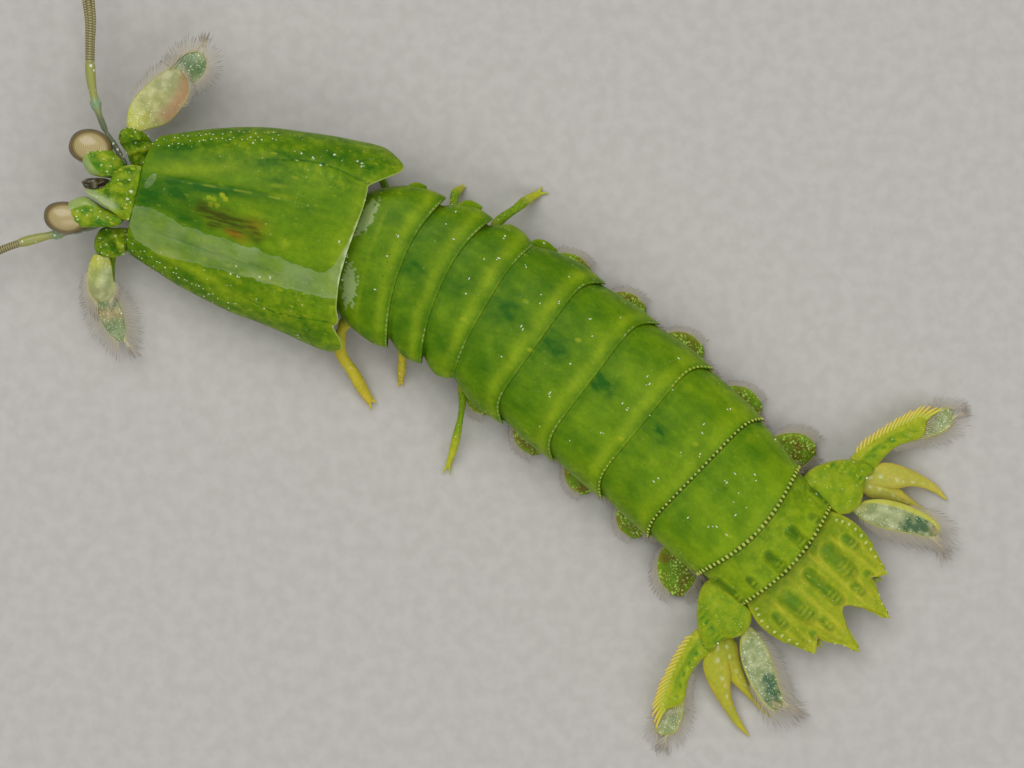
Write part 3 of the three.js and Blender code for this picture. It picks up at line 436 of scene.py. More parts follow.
def limb(path, girths, rows=40, around=24, squareness=2.0):
    """Tube of superellipse sections along a path. girths are (share, half width, half height); each
    end is rounded off by a quarter turn as deep as its half height. Gives the surface and, for each
    point, its share along the limb and its place across it from -1 to 1."""
    shares = np.linspace(0, 1, rows)
    points, tangents = centreline(path, shares)
    axes = level_axes(tangents)
    sizes = [smooth([(stop[0], stop[k]) for stop in girths], shares) for k in (1, 2)]
    turn = np.linspace(0, math.pi / 2, CAP_RINGS + 1)[1:]
    bulge, shrink = np.sin(turn)[:, None], np.maximum(np.cos(turn), 0.05)
    first = points[0] - tangents[0] * min(size[0] for size in sizes) * bulge
    last = points[-1] + tangents[-1] * min(size[-1] for size in sizes) * bulge
    points = np.concatenate([first[::-1], points, last])
    across, up = (np.pad(axis, ((CAP_RINGS, CAP_RINGS), (0, 0)), "edge") for axis in axes)
    widths, depths = (
        np.concatenate([(size[0] * shrink)[::-1], size, size[-1] * shrink])[:, None] for size in sizes
    )
    x, z = oval(around, squareness)
    ring = points[:, None] + across[:, None] * (widths * x)[..., None] + up[:, None] * (depths * z)[..., None]
    return tube(ring), *spots(np.pad(shares, CAP_RINGS, "edge"), x)


def edges(first, second, heights, shares, lean):
    """The two edges of a blade at shares of their lengths, from outlines as seen from above and
    heights given as (share, z) stops."""
    rims = []
    for rim in (first, second):
        level = np.column_stack([np.array(rim, float), np.zeros(len(rim))])
        points = centreline(level, shares)[0]
        points[:, 2] = smooth(heights, shares)
        rims.append(unseen(points, lean))
    return rims


def blade(
    first, second, heights, depths, lean=0.0, blunt=(0.08, 0.08), rows=60, around=40, squareness=2.2,
    swell=None,
):
    """Closed blade between two edges: superellipse sections as wide as their distance and with
    half thickness by (share, depth) stops, rounded off over the blunt share of each end; swell
    (along, across) raises its upper side. Gives the surface, each point's share along it and its
    place from -1 (first edge) to 1."""
    shares = (1 - np.cos(np.linspace(0, math.pi, rows))) / 2
    a, b = edges(first, second, heights, shares, lean)
    ends = np.ones(rows)
    for share, length in ((shares, blunt[0]), (1 - shares, blunt[1])):
        near = np.clip(1 - share / length, 0, 1)
        ends = np.minimum(ends, np.sqrt(np.clip(1 - near**2, 0.0009, 1)))
    x, z = oval(around, squareness)
    ring = ((a + b) / 2)[:, None] + ((b - a) / 2)[:, None] * (ends[:, None] * x)[..., None]
    lift = smooth(depths, shares)[:, None] * ends[:, None] * z
    if swell is not None:
        along, across = np.meshgrid(shares, x, indexing="ij")
        lift = lift + swell(along, across) * np.maximum(z, 0) * ends[:, None]
    ring[..., 2] += lift
    return tube(ring), *spots(shares, x)


def cones(roots, reaches, width, around=8, rows=4, droop=0.0, taper=1.0):
    """Many slender cones from their roots: sections shrink as (1 - share) ** taper, and droop bends
    them by its vector times share squared. Gives one surface and each point's share of its cone."""
    droop = np.broadcast_to(droop, reaches.shape)
    ahead = unit(reaches)
    helper = np.where(np.abs(ahead[:, 2:]) > 0.9, [[1.0, 0, 0]], [[0, 0, 1.0]])
    first = unit(np.cross(ahead, helper))
    second = np.cross(ahead, first)
    share = np.linspace(0, 1, rows + 1)[:-1]
    part = share[:, None]
    x, z = oval(around)
    middle = roots[:, None] + reaches[:, None] * part + droop[:, None] * part**2
    ring = first[:, None, None] * x[:, None] + second[:, None, None] * z[:, None]
    points = middle[:, :, None] + ring * (width * (1 - part) ** taper)[..., None]
    ends = np.stack([roots, roots + reaches + droop], 1)
    corners = np.concatenate([points.reshape(len(roots), -1, 3), ends], 1)
    along = np.append(np.repeat(share, around), [0, 1])
    return copies(corners, tube_faces(rows, around)), np.tile(along, len(roots))


def bristle_uv(order, row, along):
    """Bake places of a fringe: each bristle is a small patch, set along its fringe by its order and
    in the fringe's own row."""
    start = BAKE_MARGIN + BAKE_WIDTH * np.repeat(order, len(along) // len(order))
    edge = BAKE_PATCH * (np.arange(len(along)) % 3) / 3
    return np.stack([start + BAKE_PATCH * along, BAKE_MARGIN + BAKE_PITCH * row + edge], -1)


def pearls(middles, sizes):
    """Many small ovals: points of a low sphere times half sizes (along, across, up) round each
    middle."""
    middles = np.asarray(middles, float)
    sizes = np.broadcast_to(np.asarray(sizes, float), middles.shape)
    tilt, turn = np.linspace(0, math.pi, PEARL_RINGS + 2)[1:-1, None], around_once(PEARL_COLUMNS)
    ball = np.stack([np.sin(tilt) * np.cos(turn), np.sin(tilt) * np.sin(turn), np.cos(tilt) + 0 * turn], -1)
    corners = np.concatenate([ball.reshape(-1, 3), [[0, 0, 1], [0, 0, -1]]])
    return copies(middles[:, None] + corners * sizes[:, None], tube_faces(PEARL_RINGS, PEARL_COLUMNS))


# Materials

CREAM, SEAM_GREEN = (0.8, 0.88, 0.5), (0.012, 0.04, 0.001)
STOMACH_BROWN, STOMACH_RUST = (0.045, 0.035, 0.0015), (0.42, 0.13, 0.004)
# Painted reflection of the sky in the film of water, and a paler one along the film's edge.
PAINTED_SKY_REFLECTION, PAINTED_FILM_EDGE_REFLECTION = (0.42, 0.51, 0.26), (0.6, 0.7, 0.5)
CLEAR_GREY_GREEN, CLEAR_PALE_GREEN = (0.39, 0.48, 0.17), (0.63, 0.68, 0.34)
BLADE_PATCH, BLADE_RUST = (0.035, 0.12, 0.035), (0.55, 0.33, 0.15)
BLADE_RIM, BLADE_FRECKLE = (0.6, 0.6, 0.07), (0.85, 0.95, 0.75)
EYE_GOLD, EYE_EDGE = (0.6, 0.49, 0.23), (0.17, 0.11, 0.03)
EYE_BAND, EYE_RIM = (0.22, 0.15, 0.03), (0.045, 0.028, 0.012)
FLAP_GREEN, FLAP_BROWN = (0.14, 0.29, 0.006), (0.16, 0.13, 0.008)
FLAP_EDGE, FLAP_GRAIN = (0.4, 0.48, 0.03), (0.5, 0.75, 0.12)
# Colours of the white studs, which are partly painted glints.
STUD_AND_GLINT_GREEN, STUD_AND_GLINT_WHITE = (0.8, 0.9, 0.62), (0.95, 0.98, 0.85)
# Colours of the dark hollow between the eyes, partly painted shade.
HOLLOW_DARK, HOLLOW_LIGHT = (0.06, 0.045, 0.018), (0.21, 0.19, 0.11)
LIMB_PALE, LIMB_OLIVE, LIMB_FRECKLE = (0.36, 0.4, 0.16), (0.22, 0.33, 0.06), (0.1, 0.2, 0.02)
FEELER_BROWN, FEELER_STRAW, FEELER_FRECKLE = (0.16, 0.13, 0.035), (0.42, 0.38, 0.17), (0.85, 0.92, 0.75)
STEM_OLIVE, STEM_GREY, STEM_JOINT = (0.36, 0.38, 0.09), (0.13, 0.18, 0.1), (0.2, 0.36, 0.22)
BRISTLE_ROOT, BRISTLE_MIDDLE, BRISTLE_TIP = (0.72, 0.66, 0.36), (0.62, 0.55, 0.42), (0.2, 0.14, 0.09)
COMB_YELLOW, COMB_GOLD = (0.5, 0.56, 0.025), (0.84, 0.66, 0.1)
TABLE_DARK, TABLE_LIGHT = (0.55, 0.53, 0.49), (0.6, 0.58, 0.54)


class Nodes:
    """Short names for the nodes of one material or group."""

    def __init__(self, tree):
        """Works in a given node tree."""
        self.tree = tree

    def add(self, kind, inputs=None, **settings):
        """A node with its settings and what is fed to its sockets."""
        node = self.tree.nodes.new(kind)
        for name, value in settings.items():
            setattr(node, name, value)
        for key, value in (inputs or {}).items():
            self.feed(node.inputs[key], value)
        return node

    def feed(self, socket, value):
        """Links an output to a socket or sets the socket's constant; a constant colour is solid."""
        if isinstance(value, bpy.types.NodeSocket):
            self.tree.links.new(value, socket)
        else:
            socket.default_value = (*value, 1) if socket.type == "RGBA" else value

    def math(self, operation, first, second=0.0, clamp=False):
        """An arithmetic operation on two values, by its name."""
        node = self.add("ShaderNodeMath", {0: first, 1: second}, operation=operation, use_clamp=clamp)
        return node.outputs[0]

    def times(self, first, second, clamp=False):
        """The product of two values."""
        return self.math("MULTIPLY", first, second, clamp)

    def plus(self, first, second, clamp=False):
        """The sum of two values."""
        return self.math("ADD", first, second, clamp)

    def mix(self, share, first, second, **settings):
        """A blend of two colours."""
        inputs = {0: share, 6: first, 7: second}
        return self.add("ShaderNodeMix", inputs, data_type="RGBA", **settings).outputs[2]

    def ramp(self, value, low, high, bottom=0.0, top=1.0):
        """A smooth step from bottom at low to top at high."""
        inputs = {"Value": value, "From Min": low, "From Max": high, "To Min": bottom, "To Max": top}
        return self.add("ShaderNodeMapRange", inputs, interpolation_type="SMOOTHSTEP").outputs[0]

    def noise(self, vector, scale, detail=3.0, roughness=0.5):
        """Soft noise from 0 to 1."""
        inputs = {"Vector": vector, "Scale": scale, "Detail": detail, "Roughness": roughness}
        return self.add("ShaderNodeTexNoise", inputs).outputs[0]

    def clouded(self, vector, scale, low, high, first, second, detail=4):
        """Two colours in soft clouds."""
        return self.mix(self.ramp(self.noise(vector, scale, detail), low, high), first, second)

    def mapped(self, vector, scale, turn=(0, 0, 0)):
        """A place stretched and turned."""
        return self.add("ShaderNodeMapping", {"Vector": vector, "Scale": scale, "Rotation": turn}).outputs[0]

    def attribute(self, name):
        """One of the piece's masks."""
        return self.add("ShaderNodeAttribute", attribute_name=name).outputs["Fac"]

    def flat(self):
        """The place on the straight animal."""
        return self.add("ShaderNodeAttribute", attribute_name="flat").outputs["Vector"]

    def stained(self, colour, **stains):
        """A colour with others laid over it, each as strongly as its mask says."""
        for mask, stain in stains.items():
            colour = self.mix(self.attribute(mask), colour, stain)
        return colour

    def specks(self, vector, scale, share, radius):
        """Mask of round dots in a share of the cells of a pattern."""
        inputs = {"Vector": vector, "Scale": scale, "Share": share, "Radius": radius}
        return self.add("ShaderNodeGroup", inputs, node_tree=SPECKS).outputs[0]

    def freckles(self, vector, large, fine, dust, dusty, thick):
        """Mask of freckles of two sizes as strong as the freckle mask, and of a finer dust, up to
        thick, from where that mask passes dusty."""
        dots = self.math("MAXIMUM", self.specks(vector, *large), self.times(self.specks(vector, *fine), 0.8))
        powder = self.ramp(self.attribute("freckle"), dusty, 1.0, 0.0, thick)
        powder = self.times(self.specks(vector, *dust), powder)
        return self.math("MAXIMUM", self.times(dots, self.attribute("freckle"), clamp=True), powder)

    def bump(self, height, strength, distance=0.00006):
        """Normal of a surface with a height in metres worked into it."""
        inputs = {"Height": height, "Strength": strength, "Distance": distance}
        return self.add("ShaderNodeBump", inputs).outputs[0]


SOCKETS = {"value": "NodeSocketFloat", "vector": "NodeSocketVector", "colour": "NodeSocketColor"}


def node_group(name, inputs, outputs, make):
    """A shader group with named sockets; make(nodes, inputs) returns its outputs by name."""
    tree = bpy.data.node_groups.new(name, "ShaderNodeTree")
    for label, kind in inputs.items():
        tree.interface.new_socket(label, in_out="INPUT", socket_type=SOCKETS[kind])
    for label, kind in outputs.items():
        tree.interface.new_socket(label, in_out="OUTPUT", socket_type=SOCKETS[kind])
    nodes = Nodes(tree)
    start = nodes.add("NodeGroupInput")
    end = nodes.add("NodeGroupOutput")
    for label, value in make(nodes, {label: start.outputs[label] for label in inputs}).items():
        nodes.feed(end.inputs[label], value)
    return tree


def make_specks(nodes, given):
    """Round dots in a share of the cells of a random pattern: one minus a smooth step over the
    distance from the cell's middle."""
    cells = nodes.add("ShaderNodeTexVoronoi", {"Vector": given["Vector"], "Scale": given["Scale"]})
    chance = nodes.add("ShaderNodeSeparateColor", {0: cells.outputs["Color"]})
    radius = nodes.times(given["Radius"], nodes.ramp(chance.outputs[1], 0, 1, 0.55, 1.2))
    edge = {"Value": cells.outputs["Distance"], "From Min": radius, "From Max": nodes.times(radius, 0.55)}
    dot = nodes.add("ShaderNodeMapRange", {**edge, "To Min": 0.0, "To Max": 1.0}).outputs[0]
    return {"Mask": nodes.times(dot, nodes.math("LESS_THAN", chance.outputs[0], given["Share"]))}


SPECKS = node_group(
    "Specks", {"Vector": "vector", "Scale": "value", "Share": "value", "Radius": "value"}, {"Mask": "value"},
    make_specks,
)


def shell_ground(nodes, given, streaky):
    """Colour of a shell without its dots, and the fine grain in it: the base turns to bright where it
    is warm, unevenly in clouds and in streaks along the body; over it lie dark patches and golden
    edges."""
    vector = given["Vector"]
    clouds = nodes.math("SUBTRACT", nodes.noise(vector, 0.42, 2), 0.5)
    streaks = nodes.math("SUBTRACT", nodes.noise(streaky, 1.5, 4), 0.5)
    warm = nodes.plus(nodes.attribute("warm"), nodes.times(clouds, 1.3))
    warm = nodes.plus(warm, nodes.times(streaks, 1.1), clamp=True)
    ragged = nodes.ramp(nodes.noise(streaky, 1.6, 4), 0.3, 0.7, 0.65, 1.2)
    patches = nodes.noise(vector, 1.25, 4, 0.6)
    mottle = nodes.attribute("mottle")
    light = nodes.times(mottle, nodes.ramp(patches, 0.52, 0.62, 0.0, 0.75))
    dark = nodes.times(mottle, nodes.ramp(patches, 0.49, 0.4, 0.0, 0.8))
    shade = nodes.plus(nodes.times(nodes.attribute("shade"), ragged), dark, clamp=True)
    glow = nodes.times(nodes.attribute("glow"), ragged, clamp=True)
    colour = nodes.mix(light, nodes.mix(warm, given["Base"], given["Bright"]), given["Gold"])
    colour = nodes.mix(glow, nodes.mix(shade, colour, given["Dark"]), given["Gold"])
    grain = nodes.ramp(nodes.noise(vector, 3.6, 4, 0.65), 0.3, 0.7, 0.92, 1.07)
    grey = nodes.add("ShaderNodeCombineColor", {0: grain, 1: grain, 2: grain}).outputs[0]
    return nodes.mix(1.0, colour, grey, blend_type="MULTIPLY"), grain


def shell_dots(nodes, given, streaky, colour):
    """Golden dashes, dark pores and cream freckles laid over a colour, and the freckles' mask."""
    vector = given["Vector"]
    dashes = nodes.times(nodes.specks(streaky, 2.1, 0.45, 0.24), nodes.attribute("dash"))
    pores = nodes.times(nodes.specks(vector, 3.2, 0.3, 0.2), nodes.attribute("pore"), clamp=True)
    dots = nodes.freckles(vector, (1.3, 0.4, 0.12), (3.0, 0.25, 0.19), (5.5, 0.4, 0.26), 0.75, 0.45)
    colour = nodes.mix(pores, nodes.mix(dashes, colour, given["Gold"]), given["Dark"])
    return nodes.mix(dots, colour, given["Cream"]), dots


def make_shell(nodes, given):
    """Colour and height of a stained shell: its ground and dots, and over them the brown and rust
    strands of the stomach, seams and beads, each by its own mask."""
    streaky = nodes.mapped(given["Vector"], (0.42, 1.0, 1.0))
    colour, grain = shell_ground(nodes, given, streaky)
    colour, dots = shell_dots(nodes, given, streaky, colour)
    turned = nodes.mapped(given["Vector"], (0.28, 2.0, 1.0), (0, 0, 0.16))
    strand = nodes.ramp(nodes.noise(turned, 1.5, 4, 0.6), 0.36, 0.62)
    brown = nodes.times(nodes.attribute("organ"), nodes.ramp(strand, 0, 1, 0.4, 1.0), clamp=True)
    rust = nodes.times(nodes.attribute("rust"), nodes.ramp(strand, 0, 1, 0.95, 0.35), clamp=True)
    colour = nodes.mix(rust, nodes.mix(brown, colour, STOMACH_BROWN), STOMACH_RUST)
    colour = nodes.stained(colour, seam=given["Line"], bead=given["Cream"])
    return {"Color": colour, "Height": nodes.plus(nodes.times(grain, 0.4), nodes.times(dots, 0.6))}


SHELL = node_group(
    "Shell",
    {"Vector": "vector", **dict.fromkeys(("Base", "Bright", "Dark", "Gold", "Cream", "Line"), "colour")},
    {"Color": "colour", "Height": "value"},
    make_shell,
)


def make_film_and_reflection(nodes, given):
    """A thin film of water where the mask is past half: it adds a clear coat and smooths the surface,
    and paints a pale green reflection of the sky into the colour, a little paler at its wavy edge."""
    wave = nodes.math("SUBTRACT", nodes.noise(given["Vector"], 1.1, 3), 0.5)
    edge = nodes.plus(given["Mask"], nodes.times(wave, 0.7))
    wet_and_reflection = nodes.ramp(edge, 0.44, 0.56)
    # Painted reflection: a pale veil of the sky over the film, and a paler one along its wavy edge.
    reflection_share = nodes.ramp(nodes.noise(given["Vector"], 0.6, 3), 0.35, 0.65, 0.12, 0.3)
    colour = nodes.mix(nodes.times(wet_and_reflection, reflection_share), given["Color"], PAINTED_SKY_REFLECTION)
    colour = nodes.mix(nodes.times(wet_and_reflection, nodes.ramp(edge, 0.72, 0.5, 0.0, 0.1)), colour, PAINTED_FILM_EDGE_REFLECTION)
    return {"Color": colour, "Coat": nodes.times(wet_and_reflection, 0.35), "Roughness": nodes.ramp(wet_and_reflection, 0, 1, 0.45, 0.35)}


FILM_AND_REFLECTION = node_group(
    "Film_and_reflection",
    {"Vector": "vector", "Color": "colour", "Mask": "value"},
    {"Color": "colour", "Coat": "value", "Roughness": "value"},
    make_film_and_reflection,
)


def material(name, make, fixed):
    """A Principled material; make(nodes) gives what changes over the surface by the shader's
    sockets, and fixed holds the constants set on them."""
    made = bpy.data.materials.new(name)
    made.use_nodes = True
    made.node_tree.nodes.clear()
    nodes = Nodes(made.node_tree)
    shader = nodes.add("ShaderNodeBsdfPrincipled")
    nodes.add("ShaderNodeOutputMaterial", {"Surface": shader.outputs[0]})
    for label, value in {**fixed, **make(nodes)}.items():
        nodes.feed(shader.inputs[label], value)
    return made


def shell_material(name, base, bright, dark, gold):
    """Stained, freckled shell with a film of water and its painted reflection where its mask says so."""

    def make(nodes):
        """Stains, then the film and its painted reflection over them."""
        vector = nodes.flat()
        colours = {"Base": base, "Bright": bright, "Dark": dark, "Gold": gold}
        colours.update({"Cream": CREAM, "Line": SEAM_GREEN})
        stain = nodes.add("ShaderNodeGroup", {"Vector": vector, **colours}, node_tree=SHELL)
        wet_and_reflection = {"Vector": vector, "Color": stain.outputs["Color"], "Mask": nodes.attribute("film")}
        film = nodes.add("ShaderNodeGroup", wet_and_reflection, node_tree=FILM_AND_REFLECTION)
        return {
            "Base Color": film.outputs["Color"], "Coat Weight": film.outputs["Coat"],
            "Roughness": film.outputs["Roughness"], "Normal": nodes.bump(stain.outputs["Height"], 0.2),
        }

    waxy = {"Subsurface Weight": 0.12, "Subsurface Scale": 0.0005, "Specular IOR Level": 0.12}
    return material(name, make, {**waxy, "Coat Roughness": 0.06})


GREEN = shell_material(
    "green_shell", (0.093, 0.215, 0.0015), (0.215, 0.365, 0.005), (0.024, 0.13, 0.003), (0.38, 0.47, 0.014)
)
TAIL = shell_material(
    "yellow_green_shell", (0.205, 0.35, 0.006), (0.36, 0.465, 0.014), (0.07, 0.235, 0.012),
    (0.56, 0.57, 0.035),
)
PRONG = shell_material(
    "golden_prong", (0.33, 0.43, 0.02), (0.48, 0.52, 0.03), (0.14, 0.28, 0.012), (0.7, 0.54, 0.045)
)


def make_blade(nodes):
    """Clear blade: grey green with a dark patch, golden rim and pale freckles, more solid towards
    its rim."""
    vector = nodes.flat()
    cloud = nodes.noise(vector, 1.3, 4)
    colour = nodes.mix(nodes.ramp(cloud, 0.35, 0.7), CLEAR_GREY_GREEN, CLEAR_PALE_GREEN)
    colour = nodes.stained(colour, shade=BLADE_PATCH, rust=BLADE_RUST, glow=BLADE_RIM)
    dots = nodes.freckles(vector, (2.4, 0.45, 0.2), (4.5, 0.4, 0.22), (7.5, 0.6, 0.36), 0.55, 0.9)
    alpha = nodes.ramp(cloud, 0.3, 0.7, 0.58, 0.8)
    for mask, solid in ((nodes.attribute("shade"), 0.4), (nodes.attribute("glow"), 0.35), (dots, 0.45)):
        alpha = nodes.plus(alpha, nodes.times(mask, solid), clamp=True)
    freckled = nodes.mix(dots, colour, BLADE_FRECKLE)
    return {"Base Color": freckled, "Alpha": alpha, "Normal": nodes.bump(cloud, 0.3)}


BLADE = material("clear_blade", make_blade, {"Roughness": 0.28, "Specular IOR Level": 0.4})


def make_cornea(nodes):
    """Cream-gold cornea with fine bands that follow its outer rim, which is dark brown."""
    vector = nodes.flat()
    place = nodes.attribute("across")
    wobble = nodes.times(nodes.noise(vector, 1.2, 2), 0.05)
    bands = nodes.math("SINE", nodes.times(nodes.plus(place, wobble), 75.0))
    gold = nodes.mix(nodes.ramp(place, 0.66, 0.88), EYE_GOLD, EYE_EDGE)
    colour = nodes.stained(nodes.mix(nodes.ramp(bands, -0.9, 0.9, 0.0, 0.5), gold, EYE_BAND), shade=EYE_RIM)
    facets = nodes.add("ShaderNodeTexVoronoi", {"Vector": vector, "Scale": 16.0}).outputs["Distance"]
    return {"Base Color": colour, "Normal": nodes.bump(facets, 0.1)}


CORNEA = material("cornea", make_cornea, {"Roughness": 0.2, "Coat Weight": 0.35, "Coat Roughness": 0.05})


def make_granular(nodes):
    """Grainy skin of the swimming flaps: dark olive with brown clouds and dense bright green
    grains."""
    vector = nodes.flat()
    colour = nodes.stained(nodes.clouded(vector, 0.9, 0.4, 0.62, FLAP_GREEN, FLAP_BROWN), glow=FLAP_EDGE)
    grains = nodes.specks(vector, 4.2, 0.85, 0.5)
    dense = nodes.math("MAXIMUM", grains, nodes.specks(vector, 8.0, 0.5, 0.42))
    cover = nodes.ramp(nodes.noise(vector, 1.1, 3), 0.36, 0.52)
    return {
        "Base Color": nodes.mix(nodes.times(dense, cover), colour, FLAP_GRAIN),
        "Normal": nodes.bump(grains, 0.5, 0.00008),
    }


GRANULAR = material("grainy_flap", make_granular, {"Roughness": 0.4, "Specular IOR Level": 0.15})


def make_stud_and_glint(nodes):
    """Nearly white stud, also used as a painted glint."""
    return {"Base Color": nodes.mix(nodes.noise(nodes.flat(), 3.0, 2), STUD_AND_GLINT_GREEN, STUD_AND_GLINT_WHITE)}


STUD_AND_GLINT = material("pale_stud_and_glint", make_stud_and_glint, {"Roughness": 0.3})


def make_hollow_and_shade(nodes):
    """Dark brown hollow between the eyes: partly dark skin, partly painted shade."""
    return {"Base Color": nodes.clouded(nodes.flat(), 2.0, 0.4, 0.65, HOLLOW_DARK, HOLLOW_LIGHT)}


HOLLOW_AND_SHADE = material("dark_hollow_and_shade", make_hollow_and_shade, {"Roughness": 0.2})


def make_pale(nodes):
    """Pale olive limb skin with soft clouds and green freckles."""
    vector = nodes.flat()
    colour = nodes.clouded(vector, 0.9, 0.35, 0.65, LIMB_PALE, LIMB_OLIVE)
    dots = nodes.specks(vector, 2.0, 0.4, 0.2)
    freckled = nodes.mix(nodes.times(dots, 0.7), colour, LIMB_FRECKLE)
    return {"Base Color": freckled, "Normal": nodes.bump(dots, 0.2)}


PALE_SETTINGS = {"Roughness": 0.4, "Subsurface Weight": 0.1, "Subsurface Scale": 0.0006}
PALE = material("pale_limb", make_pale, PALE_SETTINGS)


def make_feeler(nodes):
    """Feeler: finely ringed olive brown and straw; its stem is clear grey green where shaded and
    bluish at the joint, golden olive beyond, with white freckles."""
    rings = nodes.math("SINE", nodes.times(nodes.attribute("along"), 300.0))
    colour = nodes.mix(nodes.ramp(rings, -0.4, 0.4), FEELER_BROWN, FEELER_STRAW)
    colour = nodes.stained(colour, warm=STEM_OLIVE, shade=STEM_GREY, film=STEM_JOINT)
    dots = nodes.specks(nodes.flat(), 2.8, 0.45, 0.34)
    dots = nodes.times(dots, nodes.attribute("freckle"), clamp=True)
    return {"Base Color": nodes.mix(dots, colour, FEELER_FRECKLE), "Normal": nodes.bump(rings, 0.2)}


FEELER = material("feeler", make_feeler, {"Roughness": 0.3})


def make_bristle(nodes):
    """Bristle: pale gold at its root, through a pinkish grey to a dark tip."""
    along = nodes.attribute("along")
    colour = nodes.mix(nodes.ramp(along, 0.0, 0.45), BRISTLE_ROOT, BRISTLE_MIDDLE)
    return {"Base Color": nodes.mix(nodes.ramp(along, 0.5, 1.0), colour, BRISTLE_TIP)}


BRISTLE = material("bristle", make_bristle, {"Roughness": 0.45})


def make_comb(nodes):
    """Comb spine: yellow with a golden tip."""
    return {"Base Color": nodes.mix(nodes.ramp(nodes.attribute("along"), 0.1, 0.9), COMB_YELLOW, COMB_GOLD)}


COMB_SETTINGS = {"Roughness": 0.3, "Subsurface Weight": 0.15, "Subsurface Scale": 0.0004}
COMB = material("comb_spine", make_comb, COMB_SETTINGS)


# Reliefs and grids

ARC_PITCH = 0.44
SHELL_TOP_BAND = 5.5


def ridge(s, y, start, end, width):
    """Bell across a straight ridge: the distance to the stretch between its ends, over its width."""
    run = (end[0] - start[0], end[1] - start[1])
    square = max(run[0] ** 2 + run[1] ** 2, 1e-6)
    place = np.clip(((s - start[0]) * run[0] + (y - start[1]) * run[1]) / square, 0, 1)
    return hill(np.hypot(s - start[0] - place * run[0], y - start[1] - place * run[1]), width)


def boss(s, y, start, end, width):
    """Hump of a straight ridge, and the pearly arcs that cross its rear half: a wave over the
    distance to a point ahead of it, within the hump's outline."""
    hump = ridge(s, y, start, end, width)
    wave = 0.5 + 0.5 * np.cos(FULL_TURN * np.hypot(s - start[0] + 0.9, y - start[1]) / ARC_PITCH)
    late = step(ridge(s, y, lerp(np.array(start), np.array(end), 0.8), end, width * 1.1), 0.25, 0.7)
    return hump, wave * late


def lumps(s, y, size, seed=0):
    """Soft unevenness from -1 to 1: the mean of six waves about size long in six directions."""
    total = 0
    for turn, phase in np.random.default_rng(seed).uniform(0, FULL_TURN, (6, 2)):
        total = total + np.sin((s * math.cos(turn) + y * math.sin(turn)) * FULL_TURN / size + phase)
    return total / 3


def margins(count, fine):
    """Shares from 0 to 1: even steps, with four closer ones inside fine of each end."""
    ends = np.array([0, 0.12, 0.4, 0.7]) * fine
    return np.concatenate([ends, np.linspace(fine, 1 - fine, count), 1 - ends[::-1]])


def plate(outer, thickness, margin, rim=0.22):
    """Closed plate from its outer side: the inner side lies its thickness further in along the
    normals, and within rim of the margin both sides close in by quarter circles."""
    near = np.clip(1 - margin / rim, 0, 1)
    drop = 0.5 * thickness * (1 - np.sqrt(1 - 0.96 * near**2))
    up = normals(outer)
    inner = outer - up * np.asarray(thickness - drop)[..., None]
    return slab(outer - up * np.asarray(drop)[..., None], inner)


def loft(stations, rows=40, around=40, squareness=2.4):
    """Closed body through stations (s, y, z, half width, half height): level superellipses, with
    every number a smooth curve over the stations and both ends rounded off."""
    table = np.array(stations, float)
    place = np.linspace(0, len(table) - 1, rows)
    curves = (smooth(np.stack([np.arange(len(table)), column], -1), place)[:, None] for column in table.T)
    s, y, z, wide, high = curves
    ends = np.minimum(np.sin(np.linspace(0, math.pi, rows)) * 4 + 0.03, 1)[:, None] ** 0.6
    x, up = oval(around, squareness)
    return tube(np.stack([s + 0 * x, y + wide * ends * x, z + high * ends * up], -1))


STUDDED = []


def studs(places, sizes):
    """Small ovals at seen places (s, sideways): each sits on the nearest point of the upper part of
    the outer surfaces of shell gathered in STUDDED."""
    high = [grid[grid[..., 2] > grid[..., 2].max() - SHELL_TOP_BAND] for grid in STUDDED]
    surface = np.concatenate(high)
    at, across = seen(surface)
    nearest = [int(np.argmin((at - s) ** 2 + (across - y) ** 2)) for s, y in places]
    return pearls(surface[nearest], sizes)


# Carapace

CARAPACE_SIDE_ARC = 9.4
CARAPACE_RIM = 0.12
# Edges of the film of water on the carapace, where a reflection of the sky is painted.
FILM_UPPER = [
    (-0.25, -0.65), (1.1, -0.52), (2.35, -0.82), (3.9, -1.45), (7.35, -1.62), (11.05, -1.91),
    (14.25, -2.26), (15.85, -2.21), (16.45, -1.2), (16.9, 0.6),
]
FILM_LOWER = [
    (-0.25, -2.44), (0.35, -3.3), (2.55, -3.98), (5.55, -4.05), (11.65, -4.16), (14.8, -4.23), (17.4, -3.88),
]
STOMACH_MIDDLE, STOMACH_SIZE, STOMACH_TURN = (7.3, -0.2), (3.3, 0.85), -8
STOMACH_DISCS = [(5.6, 0.8), (5.78, 1.27), (6.15, 0.86), (6.35, 1.76), (6.68, 1.49), (5.35, 1.3)]
DARK_PATCHES = [
    ((2.2, 1.2), (2.5, 0.95), -4, 1.1), ((0.4, 0.1), (1.2, 1), 0, 0.9),
    ((3.9, -0.75), (1.9, 0.5), -14, 0.95),
    ((5.6, 1.9), (2.6, 0.4), 4, 0.75), ((2.2, 4.5), (2.6, 0.6), 22, 0.75),
    ((8.4, 4.9), (2.6, 0.55), 22, 0.65),
    ((13.6, 6.75), (3, 0.6), 8, 0.6), ((16.8, 6.9), (1.6, 0.5), 0, 0.4), ((10.5, 3.9), (1.3, 0.5), 8, 0.35),
    ((8.5, 2.3), (2.8, 0.5), 3, 0.4), ((16.6, -6.9), (1.6, 0.4), 4, 0.35),
    ((5.6, -5.4), (2.4, 0.35), -22, 0.3),
]
